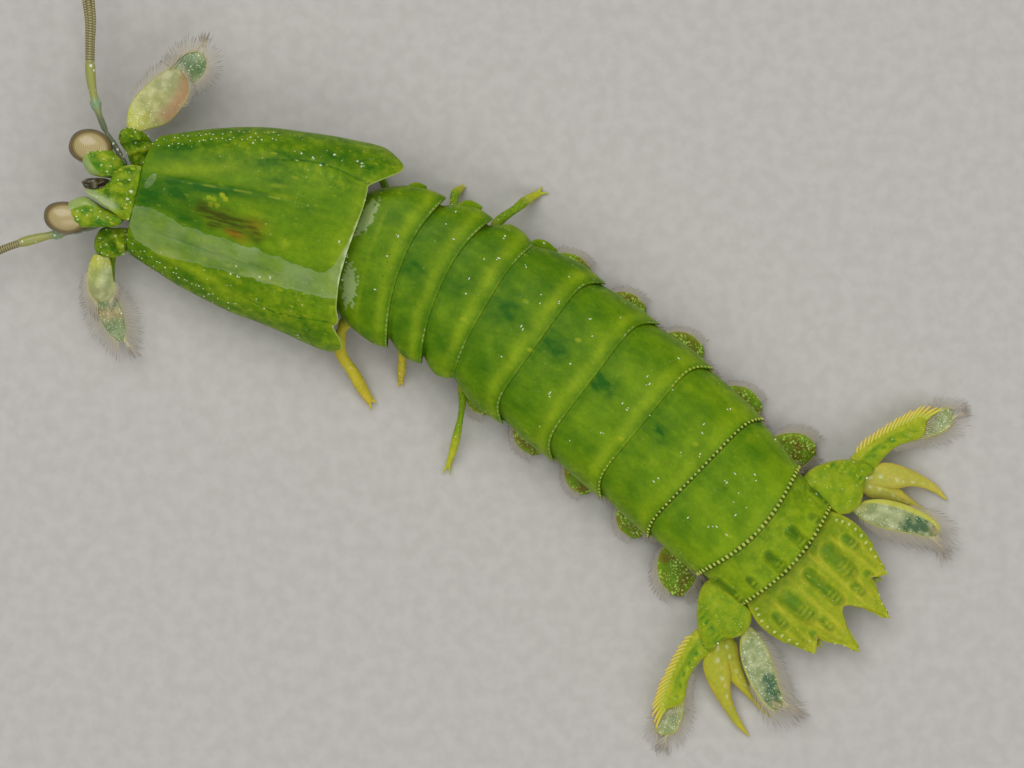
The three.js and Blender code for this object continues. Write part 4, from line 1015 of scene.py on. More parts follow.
LIGHT_PATCHES = [
    ((3.2, 3.1), (2.3, 0.5), 14, 0.7), ((6.6, 4.2), (1.7, 0.45), 20, 0.5),
    ((11, 2.75), (1.1, 0.16), 2, 0.9),
    ((10.4, 3.5), (0.7, 0.14), 10, 0.7), ((3.3, -3.95), (1.2, 0.5), -12, 0.95),
    ((6.2, -4.75), (1.6, 0.4), -14, 0.7),
    ((9, -5.7), (1.8, 0.5), -14, 0.5), ((10.8, -3.95), (1.3, 0.2), -4, 0.8),
    ((12.1, -0.8), (0.4, 0.27), 0, 0.9),
    ((9, 0.9), (1.1, 0.35), 0, 0.4), ((16.2, -0.3), (0.5, 1.1), 0, 0.35),
    ((5, -1.9), (1.6, 0.3), -8, 0.3),
]
# Pale flecks of the carapace; the last six, along its rear margin, are painted glints.
CARAPACE_FLECKS_AND_GLINTS = [
    (10.8, -3.88), (11.65, -3.72), (9.05, -4.27), (8.45, -4.19), (8.75, -3.49), (15.1, -7.56), (16.25, 0.48),
    (7.75, 6.36), (12.5, 6.39), (13.2, 5.99), (15.85, 7.09), (16.2, 7.02), (11.55, 6.49), (14.05, 7.1),
    (17.15, -0.25), (17.1, -0.45), (17.2, -0.85), (17.3, 4.3), (17.05, 1.9), (17.35, -2.3),
]


def carapace_lines(s, y):
    """Distances of points to the groove and to the side line of their side, and how strong each is
    along the body."""
    groove, line = (np.abs(y) - smooth(places, s) for places in (GROOVES, SIDE_LINES))
    return groove, step(s, 0.6, 3) * (1 - step(s, 11, 14)), line, step(s, 7, 12)


def carapace_surface():
    """Outer side: y = half width x superellipse sine, z = widest + (crown - widest) x superellipse
    cosine, over an arc of 100 degrees each way; shallow grooves, side lines and soft lumps are added
    along the normals. Gives it, its plain places s and y, and the distances to its side and rear
    margins and to the nearest one."""
    share, part = np.meshgrid(2 * margins(205, 0.012) - 1, margins(205, 0.012))
    front = smooth(CARAPACE_FRONT, np.abs(share))
    right, left = smooth(CARAPACE_REAR["right"], share), smooth(CARAPACE_REAR["left"], -share)
    rear = np.where(share > 0, right, left)
    s = lerp(front, rear, part)
    half, crown = smooth(CARAPACE_HALF_WIDTH, s), smooth(CARAPACE_CROWN, s)
    widest = smooth(CARAPACE_WIDEST_HEIGHT, s)
    angle = np.radians(CARAPACE_TURN) * share
    y = half * bulged(np.sin(angle), CARAPACE_SQUARENESS)
    z = widest + (crown - widest) * bulged(np.cos(angle), CARAPACE_SQUARENESS)
    outer = np.stack([s, y, z], -1)
    groove, groove_part, line, line_part = carapace_lines(s, y)
    relief = 0.03 * lumps(s, y, 3.4) - 0.06 * hill(groove, 0.13) * groove_part
    relief = relief - 0.03 * hill(line, 0.1) * line_part
    to_side, to_rear = (1 - np.abs(share)) * CARAPACE_SIDE_ARC, rear - s
    margin = np.minimum(np.minimum(to_side, s - front), to_rear)
    return outer + normals(outer) * relief[..., None], s, y, to_side, to_rear, margin


def carapace_film_and_reflection(at, across, to_rear):
    """Film of water by its measured upper and lower edges, and a small one near the front; its reflection is
    painted.
    """
    wet_and_reflection = np.minimum(straight(FILM_UPPER, at) - across, across - straight(FILM_LOWER, at))
    wet_and_reflection = np.minimum(wet_and_reflection, np.minimum(at + 0.35, to_rear + 0.3))
    small = blob(at, across, (0.5, 1.5), (0.32, 0.8), -24)
    return np.maximum(np.clip(0.5 + wet_and_reflection / 0.9, 0, 1), step(small, 0.2, 0.7))


def carapace_glint(at, across, to_rear):
    """Painted glint: a pale broken line along the middle of the rear margin."""
    glint = np.clip(0.35 + 0.65 * lumps(at, across, 1.1, 41), 0, 1) * step(across, -3.6, -2.4)
    return glint * (1 - step(across, 3.8, 5.2)) * hill(to_rear - 0.05, 0.06 + 0.14 * hill(across + 0.5, 1.2))


def carapace_masks(at, across, s, y, to_side, to_rear):
    """Stains of the carapace by their seen places: dark grooves and patches, golden margins that are
    partly painted light through the thin edges, light patches, the brown stomach with pale discs, rust,
    flecks and edge dots, freckles that thicken outwards, a painted glint and a film with a painted
    reflection."""
    groove, groove_part, line, line_part = carapace_lines(s, y)
    shade = 0.4 * hill(groove, 0.09) * groove_part + 0.2 * hill(groove, 0.4) * groove_part
    shade = shade + 0.8 * hill(line, 0.07) * line_part
    for middle, size, turn, amount in DARK_PATCHES:
        shade = shade + amount * blob(at, across, middle, size, turn)
    # Lighter bands along the side and rear margins: partly the shell's yellow rim, partly painted light
    # shining through its thin edges.
    glow = 0.3 * hill(to_side, 0.9) + 0.7 * hill(to_side, 0.12) + 0.7 * hill(to_rear, 0.1)
    glow = glow + 0.25 * hill(to_rear - 0.5, 0.35)
    glow = glow + 0.5 * hill(groove + 0.16, 0.07) * groove_part * step(lumps(at, across, 2.4, 4), -0.1, 0.5)
    # Its last term warms the sides as painted light through the thin edges.
    warm = 0.3 + 0.15 * step(at, 8, 15) - 0.08 * step(across, 5, 7) + 0.3 * hill(to_side, 1.1)
    for middle, size, turn, amount in LIGHT_PATCHES:
        patch = blob(at, across, middle, size, turn)
        glow, warm = glow + 0.5 * amount * patch, warm + 0.7 * amount * patch
    discs = (step(blob(at, across, middle, (0.25, 0.2)), 0.25, 0.6) for middle in STOMACH_DISCS)
    glow = glow + sum(0.85 * disc for disc in discs)
    stomach = blob(at, across, STOMACH_MIDDLE, STOMACH_SIZE, STOMACH_TURN) + 0.12 * lumps(at, across, 1.6, 3)
    rust = step(blob(at, across, (8.25, -1.15), (1.3, 0.4), -14), 0.15, 0.9)
    rust = rust + 0.5 * blob(at, across, (9.6, 0.1), (0.9, 0.7))
    # Flecks, of which those along the rear margin are painted glints.
    flecks = sum(0.8 * blob(at, across, middle, (0.07, 0.06)) for middle in CARAPACE_FLECKS_AND_GLINTS)
    edge_dots = hill(to_side - 0.32, 0.1) * step(np.sin(at * 11), 0.3, 0.8) * (1 - step(at, 5, 8))
    bead = flecks + 0.8 * edge_dots + 0.25 * hill(to_rear - 0.03, 0.05)
    outer_part = step(np.abs(across - 0.3), 3.2, 5.2)
    # The bead mask also carries the painted glint on the rear margin; the film mask carries the film whose
    # reflection is painted.
    return dict(
        warm=warm, shade=shade, glow=glow, rust=0.6 * rust, organ=0.8 * step(stomach, 0.1, 0.75),
        bead=bead + 0.95 * carapace_glint(at, across, to_rear), film=carapace_film_and_reflection(at, across, to_rear),
        freckle=0.2 + 0.45 * outer_part, dash=0.25 + 0.35 * outer_part, pore=0.3 + 0.4 * outer_part,
        mottle=0.08 + 0.32 * outer_part,
    )


def carapace():
    """The carapace: a plate that thins towards its margin."""
    top, s, y, to_side, to_rear, margin = carapace_surface()
    masks = carapace_masks(*seen(top), s, y, to_side, to_rear)
    STUDDED.append(top)
    thickness = lerp(CARAPACE_RIM, CARAPACE_THICKNESS, step(margin, 0, 1.8))
    shell = plate(top, thickness, margin, 0.07)
    Form().add(shell, **masks).build("carapace_shell", GREEN, ["carapace"])


# Rings of the body

MIDLINE_SPOTS = {
    "thorax_somite_7": (22.5, 0.41, 0.5, 0.8), "thorax_somite_8": (26.4, 0.35, 0.45, 0.6),
    "abdomen_somite_1": (30.5, 0.5, 0.6, 1.1), "abdomen_somite_2": (35.4, 0.48, 0.85, 1),
    "abdomen_somite_3": (40.3, 0.4, 0.8, 0.95), "abdomen_somite_4": (46.2, 0.2, 0.75, 0.85),
    "abdomen_somite_5": (52.6, 0.1, 0.7, 0.35),
}
SIDE_CLOUDS = [
    (31.9, 4.6), (36.3, 4.8), (41.8, 4.25), (47.1, 3.6), (52.3, 4.2), (31.6, -4.2), (36.3, -4.7),
    (41.2, -4.4),
    (47.6, -4.8), (52.6, -4.2), (27.3, 4.4), (27.2, -4.3), (23.2, 4.2), (23.2, -4.2), (20, -2.5),
]
# Painted glints: white spots where the bumps of the rings catch the light, drawn as white studs.
SPARKLES = [
    (32.1, 3.17), (32.4, 2.6), (32.2, 0.18), (32.45, 0.05), (32.3, -2.69), (37.1, 0.16), (37.2, -2.65),
    (37.35, -3),
    (37.2, 2.93), (42.3, 0.1), (42.95, -0.04), (42.57, 2.99), (43.07, 2.63), (44.6, 0.84), (39.25, 1.15),
    (27.65, 5.69), (28.05, 3.91), (26.8, 1.36), (27.1, 0.12), (23.55, 4.58), (23.85, 5.75), (24.5, 3.71),
    (36.3, 3.93),
    (38.1, 5.47), (43.6, 5.7), (33, 5.64), (30.1, 4.4), (38.17, -5.36), (40.83, -4.83), (33.5, 3.63),
    (52.7, 0.91),
    (53.9, 0.99), (52.7, 1.85), (52.45, -3.25), (53.8, 2.98), (54.2, 2.66), (42.45, -2.78), (48.45, -2.6),
    (48.45, -3.08), (48.25, 3.01), (48.6, 2.38), (48.4, 0.09), (49.6, 1.05), (54.2, 0.2), (54.1, -2.6),
    (54.55, -2.11),
    (55.2, 0.65), (44.75, 3.42), (27.15, 3.28), (48.95, 5.32), (55, -0.43), (55.65, -2.02), (53, 6.08),
    (20.55, 2.32), (20.1, -2.26), (21.55, -1.79), (20.2, 0.6),
]
BEADS = {
    "abdomen_somite_3": (0.1, 0.08, 0.5), "abdomen_somite_4": (0.13, 0.11, 0),
    "abdomen_somite_5": (0.19, 0.13, 0),
    "abdomen_somite_6": (0.17, 0.12, 0),
}
BEAD_PITCH = 0.42
LIP = 0.045
LIP_TURNS = ((0.02, 0.09), (0.08, 0.12), (0.3, 0.15), (0.8, 0.3))
RING_UNDERLAP = 0.32
VAULT_COLUMNS, UNDER_COLUMNS, RING_ROWS, LIP_ROWS = 270, 44, 64, 12
HEM = np.array([(0.997, 0.22), (0.99, 0.13), (0.975, 0.05), (0.955, 0.01)])
RING_WARMTH = [
    (17, 0.35), (20, 0.3), (23, 0.2), (31, 0.18), (36, 0.33), (42, 0.5), (47, 0.6), (53, 0.68), (57, 0.8),
    (60, 1),
]
SIXTH_BOSSES = [
    ((59.2, 1.62), (60.75, 1.58), 0.45, 0.36), ((59.2, -1), (60.75, -1), 0.45, 0.36),
    ((59.6, 3.6), (60.1, 3.7), 0.3, 0.2),
    ((59.3, -3.4), (60, -3.45), 0.3, 0.2), ((58.2, 5.2), (59.9, 5.35), 0.24, 0.14),
    ((57.6, -5.1), (59.9, -5.05), 0.24, 0.14),
]
PALE_OVALS = [
    (53.1, 6.1), (55.75, -1.98), (48.8, 1.38), (49.05, 5.41), (36.5, 2), (33.9, -0.9), (44, -2.2),
    (27.9, -1.7), (31.4, 2.1),
]
SIDE_LOBES = {
    "thorax_somite_6": ((20.2, 5.6), (21.2, 6.6)), "thorax_somite_7": ((23.9, 5.9), (25.3, 6.8)),
    "thorax_somite_8": ((27, 5.7), (28.7, 6.5)), "abdomen_somite_1": ((29.4, 5.9), (31.2, 6.8)),
}
LOBE_GIRTHS = [(0, 0.35, 0.25), (0.5, 0.5, 0.22), (1, 0.18, 0.12)]
BAND_FADE = {"abdomen_somite_4": 0.6, "abdomen_somite_5": 0.4, "abdomen_somite_6": 0.3}


def ring_rear(ring, share):
    """Rear edge: rear + bulge (1 - share squared) + sweep x share to its power."""
    amount, power = ring["sweep"]
    return ring["rear"] + RING_BULGE.get(ring["name"], 0) * (1 - share**2) + amount * np.abs(share) ** power


def ring_front(before, share):
    """Front edge: the rear edge of the ring before, or the edge of the first ring."""
    return ring_rear(before, share) if before else FIRST_RING_FRONT + 0 * share


def vault(turn):
    """Shares of the half width and of the height of a ring's upper side: a superellipse that ends
    at the widest height."""
    angle = turn * math.pi / 2
    level = RING_WIDEST + (1 - RING_WIDEST) * bulged(np.cos(angle), RING_SQUARENESS)
    return bulged(np.sin(angle), RING_SQUARENESS), level


def ring_section():
    """Closed section of a ring as shares of its half width and of its height: the vault, a rounded
    hem, and the hollow underside."""
    turn = np.linspace(-1, 1, VAULT_COLUMNS)
    under = np.linspace(0.93, -0.93, UNDER_COLUMNS)
    share, level = vault(turn)
    share = np.concatenate([share, HEM[:, 0], under, -HEM[::-1, 0]])
    level = np.concatenate([level, HEM[:, 1], straight(RING_UNDERSIDE, np.abs(under)), HEM[::-1, 1]])
    turn = np.concatenate([turn, np.ones(len(HEM)), np.where(under > 0, 1.0, -1.0), -np.ones(len(HEM))])
    return share, level, turn


def ring_point(ring, before, s, share, level, inset=0.0):
    """Point of a ring: half width = the two widths blended along it, plus the bow; the crown and
    the hem likewise; the whole section drawn in by inset."""
    start = ring_front(before, share)
    part = np.clip((s - start) / (ring_rear(ring, share) - start), 0, 1)
    swell = np.sin(part * math.pi / 2)
    crown_before, hem_before = before["heights"] if before else (FIRST_RING_CROWN + RING_STEP_DOWN, 0)
    crown, hem = ring["heights"]
    half = lerp(ring["widths"][0], ring["widths"][1], swell) + ring["bow"] * np.sin(math.pi * part)
    top = lerp(crown_before - RING_STEP_DOWN, crown, swell)
    low = lerp(max(hem_before, hem), hem, np.minimum(1, 3 * part))
    middle = (top + low) / 2
    z = low + (top - low) * level
    shrink = 1 - inset / ((top - low) / 2)
    return np.stack([s, share * (half - inset), middle + (z - middle) * shrink], -1), part


def ring_relief(ring, s, to_rear, y):
    """Height of the markings in relief: a faint swelling before the rear margin and soft lumps; the
    sixth ring of the abdomen has three low humps on each side."""
    relief = 0.02 * hill(to_rear - 0.2, 0.15) + 0.02 * lumps(s, y, 2.6, 5)
    if ring["name"] == "abdomen_somite_6":
        for start, end, width, height in SIXTH_BOSSES:
            hump, arcs = boss(s, y, start, end, width)
            relief = relief + height * hump + 0.05 * arcs
    return relief


def dark_spots(shade, name, at, across):
    """Adds the dark clouds of a ring to its shade: one in the middle, by its measured size and
    strength, and those at the sides."""
    if name in MIDLINE_SPOTS:
        s0, y0, size, amount = MIDLINE_SPOTS[name]
        rough = 1 + 0.25 * lumps(at, across, 0.9, 12)
        spot = 0.75 * blob(at, across, (s0, y0), (1.25 * size, 0.75))
        shade = shade + amount * rough * (spot + 0.4 * blob(at, across, (s0, y0), (1.8, 1.7)))
    for middle in SIDE_CLOUDS:
        shade = shade + 0.42 * blob(at, across, middle, (1.25, 1.0))
    return shade


def wet_reflection_patches(at, across):
    """Films of water on the front of the first free ring, ragged at their edges, where a pale reflection is
    painted.
    """
    right = blob(at, across, (17.75, 3.0), (0.5, 1.6), -12)
    wet_and_reflection = np.maximum(right, blob(at, across, (18.05, -2.6), (0.62, 1.6), 14))
    ragged = 0.3 * lumps(at, across, 0.55, 31) + 0.15 * lumps(at, across, 0.3, 32)
    return step(wet_and_reflection + ragged * step(wet_and_reflection, 0.1, 0.3), 0.3, 0.45)


def first_ring_marks(masks, at, across, uneven):
    """The first free ring: pores in its middle, an oblique light line, and films of water with a painted pale
    reflection.
    """
    film = wet_reflection_patches(at, across)
    oblique = (at - 18.45) - 0.035 * np.abs(across - 0.5) ** 1.6
    line = 0.28 * hill(oblique - 0.35, 0.17) * (1 - step(np.abs(across), 3.5, 5.5)) * (0.8 + 0.4 * uneven)
    masks["pore"] = masks["pore"] + 1.2 * blob(at, across, (19.8, -0.2), (0.9, 2.4))
    masks["glow"] = (masks["glow"] + line) * (1 - film)
    # Painted reflection: the films of water are washed paler with cream.
    masks["bead"] = masks["bead"] + 0.22 * film
    masks["film"] = film


def sixth_ring_marks(masks, at, across):
    """The sixth ring of the abdomen: dark humps with pearly arcs and a light outline."""
    for start, end, width, _ in SIXTH_BOSSES:
        hump, arcs = boss(at, across, start, end, width)
        masks["shade"] = masks["shade"] + 0.85 * step(hump, 0.05, 0.95) * (1 - 0.6 * arcs)
        masks["glow"] = masks["glow"] + (0.3 * hill(hump - 0.12, 0.08) + 0.3 * arcs) * (at < 61)
    masks["mottle"], masks["freckle"] = masks["mottle"] + 0.3, masks["freckle"] + 0.2


def ring_masks(ring, at, across, turn, part, to_rear):
    """Stains of a ring: the soft light band before its rear margin, dark clouds, pale ovals, sides lighter
    partly as painted light through their thin edges, and a finely cut seam and beads along the margin."""
    name, side = ring["name"], np.abs(turn)
    uneven = lumps(at, across, 2.2, 11)
    band = hill(to_rear - 0.95, 0.45) * (0.75 + 0.25 * uneven) * BAND_FADE.get(name, 1.0)
    glow = 0.3 * band + 0.12 * hill(to_rear - 0.12, 0.08) * step(uneven, -0.4, 0.4)
    ovals = (step(blob(at, across, middle, (0.3, 0.17), 20), 0.25, 0.6) for middle in PALE_OVALS)
    # Lighter sides: partly the yellower side plates, partly painted light shining through their thin edges.
    glow = glow + 0.3 * step(side, 0.85, 1.0) + sum(0.6 * pale for pale in ovals)
    tick = step(np.cos(turn * FULL_TURN * 17), 0.0, 0.7)
    seam = 0.85 * hill(to_rear, 0.05) * (0.5 + 0.5 * tick)
    bead = 0.35 * hill(to_rear - 0.12, 0.055) * tick * step(side, 0.15, 0.4) * step(uneven, -0.3, 0.3)
    if name in BEADS:
        length, _, inmost = BEADS[name]
        under = 0.8 * hill(to_rear - length, length * 0.9) * step(side, inmost - 0.02, inmost + 0.04)
        seam = seam + under * (length > 0.11)
    masks = dict(
        # The side term of warm is partly painted light through the thin edges.
        warm=smooth(RING_WARMTH, at) + 0.55 * band + 0.3 * step(side, 0.68, 0.95) + 0.1 * uneven,
        shade=dark_spots(0.3 * hill(part - 0.05, 0.06) + 0.25 * hill(to_rear - 0.28, 0.14), name, at, across),
        mottle=0.1 + 0.25 * step(side, 0.6, 0.85), glow=glow, seam=seam, bead=bead * (name not in BEADS),
        freckle=0.1 + 0.6 * step(side, 0.62, 0.85), pore=0.25 + 0 * part,
        dash=0.12 + 0.5 * step(side, 0.55, 0.8),
    )
    if name == "thorax_somite_6":
        first_ring_marks(masks, at, across, uneven)
    if name == "abdomen_somite_6":
        sixth_ring_marks(masks, at, across)
    return masks


def ring_lobe(ring):
    """Small lobe at the right side of a ring, and its place across it."""
    (s0, y0), (s1, y1) = SIDE_LOBES[ring["name"]]
    height = ring["heights"][1] + 0.9
    path = [(s0, y0, height + 0.4), ((s0 + s1) / 2, y1 - 0.25, height), (s1, y1, height - 0.3)]
    lobe, _, x = limb(path, LOBE_GIRTHS, rows=24, around=20)
    return lobe, x


def ring_piece(ring, before):
    """Ring of the body: rows of its section from under the ring ahead to its rear margin, which is
    rolled over a lip and turned back inwards."""
    share, level, turn = ring_section()
    t = np.concatenate([np.linspace(0, 0.93, RING_ROWS), np.linspace(0.94, 1, LIP_ROWS)])[:, None]
    rear = ring_rear(ring, share)
    s = lerp(ring_front(before, share) - RING_UNDERLAP, rear, t)
    to_rear = rear - s
    near = np.clip(1 - to_rear / LIP, 0, 1)
    grid, part = ring_point(ring, before, s, share + 0 * t, level + 0 * t, LIP * (1 - np.sqrt(1 - near**2)))
    relief = ring_relief(ring, s, to_rear, grid[..., 1]) * (1 - near) * (level > RING_WIDEST)
    up = normals(grid)
    up[..., 2] = np.abs(up[..., 2])
    grid = grid + up * relief[..., None]
    STUDDED.append(grid[:, :VAULT_COLUMNS])
    inner = [ring_point(ring, before, rear - back, share, level, deep)[0] for back, deep in LIP_TURNS]
    rows = np.concatenate([grid, np.stack(inner)])
    part, to_rear = (np.pad(values, ((0, len(inner)), (0, 0)), "edge") for values in (part, to_rear))
    form = Form().add(tube(rows), **ring_masks(ring, *seen(rows), turn + 0 * part, part, to_rear))
    if ring["name"] in SIDE_LOBES:
        lobe, x = ring_lobe(ring)
        form.add(lobe, warm=0.5, glow=0.5 * np.abs(x) ** 4, freckle=0.9, dash=0.5)
    return form


def ring_beads(ring, before):
    """Beads along a ring's rear margin: low ovals at an even pitch along the arc, from the given
    share of the half width outwards."""
    length, width, inmost = BEADS[ring["name"]]
    share, level = vault(np.linspace(-0.93, 0.93, 2000))
    places, _ = ring_point(ring, before, ring_rear(ring, share) - length - 0.03, share, level)
    arc = running(np.linalg.norm(np.diff(places, axis=0), axis=1))
    even = np.arange(BEAD_PITCH / 2, arc[-1], BEAD_PITCH)
    middles = np.stack([np.interp(even, arc, places[:, k]) for k in range(3)], -1)
    middles = middles[np.abs(np.interp(even, arc, share)) >= inmost]
    middles[:, 2] += ring_relief(ring, middles[:, 0], length, middles[:, 1])
    sizes = np.array([length, width, 0.08]) * random.uniform(0.85, 1.1, (len(middles), 1))
    return pearls(middles, sizes)


def rings():
    """All rings of the body, each in place of its solid, and the beads along their margins."""
    before = None
    pale = Form()
    for ring in RINGS:
        ring_piece(ring, before).build(ring["name"] + "_shell", GREEN, [ring["name"]])
        if ring["name"] in BEADS:
            pale.add(ring_beads(ring, before), warm=1.0, glow=0.6, bead=0.15)
        before = ring
    pale.build("margin_beads", TAIL)


# Telson

TELSON_BOSSES = [
    ((62.6, 2.5), (64.8, 2.35), 0.6, 0.5), ((62.9, 4.15), (63.8, 4.25), 0.36, 0.3),
    ((65.95, 3.2), (66.3, 3.35), 0.26, 0.2), ((65.85, 1.85), (66.65, 1.85), 0.36, 0.35),
]
TELSON_RIDGES = [
    ((61.5, 1.25), (67.6, 1.35)), ((61.8, 3.5), (66.8, 3.9)), ((65.2, 2.6), (67.8, 2.2)),
    ((64.4, 4.6), (66.9, 4.35)),
]
TELSON_TEETH = [((65, 3.9), (67.2, 4.33)), ((66.6, 2.05), (69.6, 1.8)), ((62.9, 5), (64.6, 5.3))]
TELSON_KEEL = ((62.6, 0.05), (65.7, 0.12), 0.45, 0.5)
TELSON_SIDE_ARC = 5.4
DENTICLE_ROWS = (((67.05, 3.75), (66.7, 3), 3, 0.5), ((66.55, 0.4), (68.2, 1.35), 5, 0.3))


def telson_marks(s, y):
    """Relief, shade and glow of the telson: soft lumps, bosses and a keel crossed by arcs about a
    point ahead of each, light ridges, and teeth with a dark ring at their roots."""
    side = np.abs(y)
    relief = 0.03 * lumps(s, y, 1.4, 21)
    shade, glow = 0.12 * step(lumps(s, y, 1.1, 22), 0, 0.8), 0.15 * step(lumps(s, y, 1.7, 23), 0, 0.8)
    for (start, end, width, height), across in [(hump, side) for hump in TELSON_BOSSES] + [(TELSON_KEEL, y)]:
        hump, arcs = boss(s, across, start, end, width)
        relief = relief + height * hump + 0.05 * arcs
        shade = shade + 0.95 * step(hump, 0.1, 0.85) * (1 - 0.55 * arcs)
        glow = glow + 0.3 * hill(hump - 0.1, 0.07) + 0.22 * arcs
    for start, end in TELSON_RIDGES:
        line = ridge(s, side, start, end, 0.2)
        relief, glow = relief + 0.09 * line, glow + 0.4 * line
    for root, tip in TELSON_TEETH:
        relief = relief + 0.22 * ridge(s, side, root, tip, 0.3)
        ring = np.hypot(s - lerp(root[0], tip[0], 0.45), side - lerp(root[1], tip[1], 0.45))
        shade = shade + 0.5 * hill(ring - 0.22, 0.09)
    return relief, shade, glow


def telson():
    """Outer side: crown along the middle less the fall x (y / half width) squared, over a share of
    the half width; the rear edge runs out into the teeth."""
    share, part = np.meshgrid(2 * margins(205, 0.01) - 1, margins(190, 0.015))
    side = np.abs(share)
    last = RINGS[-1]
    front = ring_rear(last, share) - last["rear"] + TELSON_FRONT - 0.5
    rear = smooth(TELSON_REAR, side)
    s = lerp(front, rear, part)
    y = share * TELSON_HALF_WIDTH * smooth(TELSON_SIDE, s)
    z = smooth(TELSON_CROWN, s) - TELSON_FALL * (y / TELSON_HALF_WIDTH) ** 2
    relief, shade, glow = telson_marks(s, y)
    margin = np.minimum((1 - side) * TELSON_SIDE_ARC, rear - s)
    outer = np.stack([s, y, z + (relief + 0.08 * hill(margin - 0.25, 0.14))], -1)
    STUDDED.append(outer)
    shell = plate(outer, np.minimum(0.25 + 0.9 * step(margin, 0, 2.2), 1.5), margin, 0.1)
    masks = dict(
        warm=0.25 + 0.5 * step(s, 62, 67), shade=shade + 0.35 * hill(s - 61.6, 0.5),
        glow=glow + 0.8 * hill(margin, 0.22) + 0.3 * step(s, 64.5, 69), mottle=0.3, freckle=0.5,
        pore=0.3, dash=0.5,
    )
    Form().add(shell, **masks).build("telson_shell", TAIL, ["telson"])


def telson_denticles():
    """Small spines along the telson's rear edge between its teeth, and a knob at each side of its
    front."""
    roots, reaches = [], []
    for (s0, y0), (s1, y1), count, length in DENTICLE_ROWS:
        share = (np.arange(count) + 0.5) / count
        for side in SIDES.values():
            s, y = lerp(s0, s1, share), lerp(y0, y1, share)
            roots += list(np.stack([s - 0.15, side * y, smooth(TELSON_CROWN, s) - 0.75 - 0.056 * y**2], -1))
            reaches += [(length + 0.15, 0, -0.1)] * count
    surface, along = cones(np.array(roots), np.array(reaches), 0.13, rows=5, taper=0.7)
    form = Form().add(surface, glow=along, freckle=0.5, warm=0.6)
    for side in SIDES.values():
        knob = [(60.5, 4.55 * side, 3.75), (60.75, 5.2 * side, 3.4)]
        form.add(pearls(knob, [(0.3, 0.4, 0.3), (0.36, 0.3, 0.3)]), glow=1.0)
    form.build("telson_denticles", TAIL)


# Tail limbs

TAIL_BASE = dict(
    first=[(57, 5), (57, 6.4), (57.5, 7.5), (58.4, 8.65), (59.3, 9.4), (60.3, 9.85), (60.9, 9.9)],
    second=[(61, 5), (61.8, 6), (61.9, 7), (61.6, 7.7), (61.15, 8.3), (60.95, 9), (60.95, 9.85)],
    heights=[(0, 4.1), (0.4, 3.5), (1, 2.5)], depths=[(0, 0.95), (0.5, 1), (1, 0.7)],
)
OUTER_PRONG = {
    "right": dict(
        first=[
            (60.3, 9.3), (60.9, 10.5), (61.6, 11.15), (62.8, 11.7), (64.2, 12.1), (65.6, 12.25),
            (67, 12),
        ],
        second=[
            (60.9, 8.1), (62, 8.9), (63.35, 9.95), (63.9, 10.65), (64.6, 11.2), (65.5, 11.6),
            (66.95, 11.9),
        ],
    ),
    "left": dict(
        first=[
            (60.3, 9.3), (61.1, 10.9), (62.05, 11.6), (63.4, 12.15), (64.8, 12.5), (66.35, 12.85),
            (67.85, 12.83),
        ],
        second=[
            (60.9, 8.1), (62, 8.9), (63.4, 10.1), (64.2, 11), (64.9, 11.55), (65.9, 12.05),
            (67.8, 12.72),
        ],
    ),
}
INNER_PRONG = {
    "right": dict(
        first=[
            (60.6, 9.3), (61.8, 9.9), (63.35, 10.1), (64.3, 10.1), (65.3, 10.15), (66.4, 10.25),
            (67.65, 10.15),
        ],
        second=[
            (61.2, 7.8), (62.1, 7.9), (63, 8.5), (64.6, 9.4), (66, 9.85), (66.9, 10), (67.6, 10.05),
        ],
    ),
    "left": dict(
        first=[
            (60.6, 9.3), (61.8, 10.1), (63.2, 10.45), (64.5, 10.5), (65.8, 10.55), (66.9, 10.6),
            (68.05, 10.57),
        ],
        second=[
            (61.2, 7.8), (62.1, 7.9), (63.1, 8.7), (64.7, 9.6), (66, 10.1), (67.1, 10.35),
            (68, 10.48),
        ],
    ),
}
PRONG_HEIGHTS = {
    "outer": [(0, 2.3), (0.4, 1.7), (0.75, 0.8), (1, 0.25)],
    "inner": [(0, 2.1), (0.4, 1.2), (0.75, 0.6), (1, 0.25)],
}
PRONG_DEPTHS = {
    "outer": [(0, 0.6), (0.4, 0.55), (0.8, 0.25), (1, 0.08)],
    "inner": [(0, 0.5), (0.4, 0.42), (0.8, 0.22), (1, 0.08)],
}
OUTER_BLADE = dict(
    first=[
        (58.8, 9), (58.95, 10.3), (59.25, 11.6), (59.65, 13), (60.1, 14.3), (60.6, 15.4),
        (61.15, 16),
    ],
    second=[
        (60.95, 9.7), (60.85, 11.2), (61.05, 12.4), (61.5, 13.3), (61.9, 13.9), (62, 14.6),
        (61.3, 15.9),
    ],
    heights=[(0, 2.5), (0.3, 2.1), (0.7, 1.4), (1, 0.95)],
    depths=[(0, 0.6), (0.3, 0.55), (0.8, 0.42), (1, 0.25)],
)
END_BLADE = dict(
    first=[(61.1, 14.4), (61.25, 15.8), (61.45, 16.8), (61.85, 17.4), (62.25, 17.65)],
    second=[(61.9, 13.9), (62.5, 14.7), (63, 15.7), (63.2, 16.6), (62.85, 17.3)],
    heights=[(0, 1), (0.5, 0.65), (1, 0.35)], depths=[(0, 0.3), (0.5, 0.22), (1, 0.14)],
)
INNER_BLADE = dict(
    first=[
        (61.6, 6.2), (62.55, 6.15), (63.9, 6.5), (64.95, 7), (66.1, 7.7), (66.9, 8.2), (67.75, 8.7),
        (68.2, 9.15),
    ],
    second=[
        (61.8, 7.2), (62.4, 7.95), (63.2, 8.65), (64.6, 9.4), (66, 9.85), (67.2, 10.05), (68, 9.85),
        (68.25, 9.3),
    ],
    heights=[(0, 3), (0.3, 2.6), (0.7, 1.9), (1, 1.35)], depths=[(0, 0.28), (0.5, 0.24), (1, 0.15)],
)
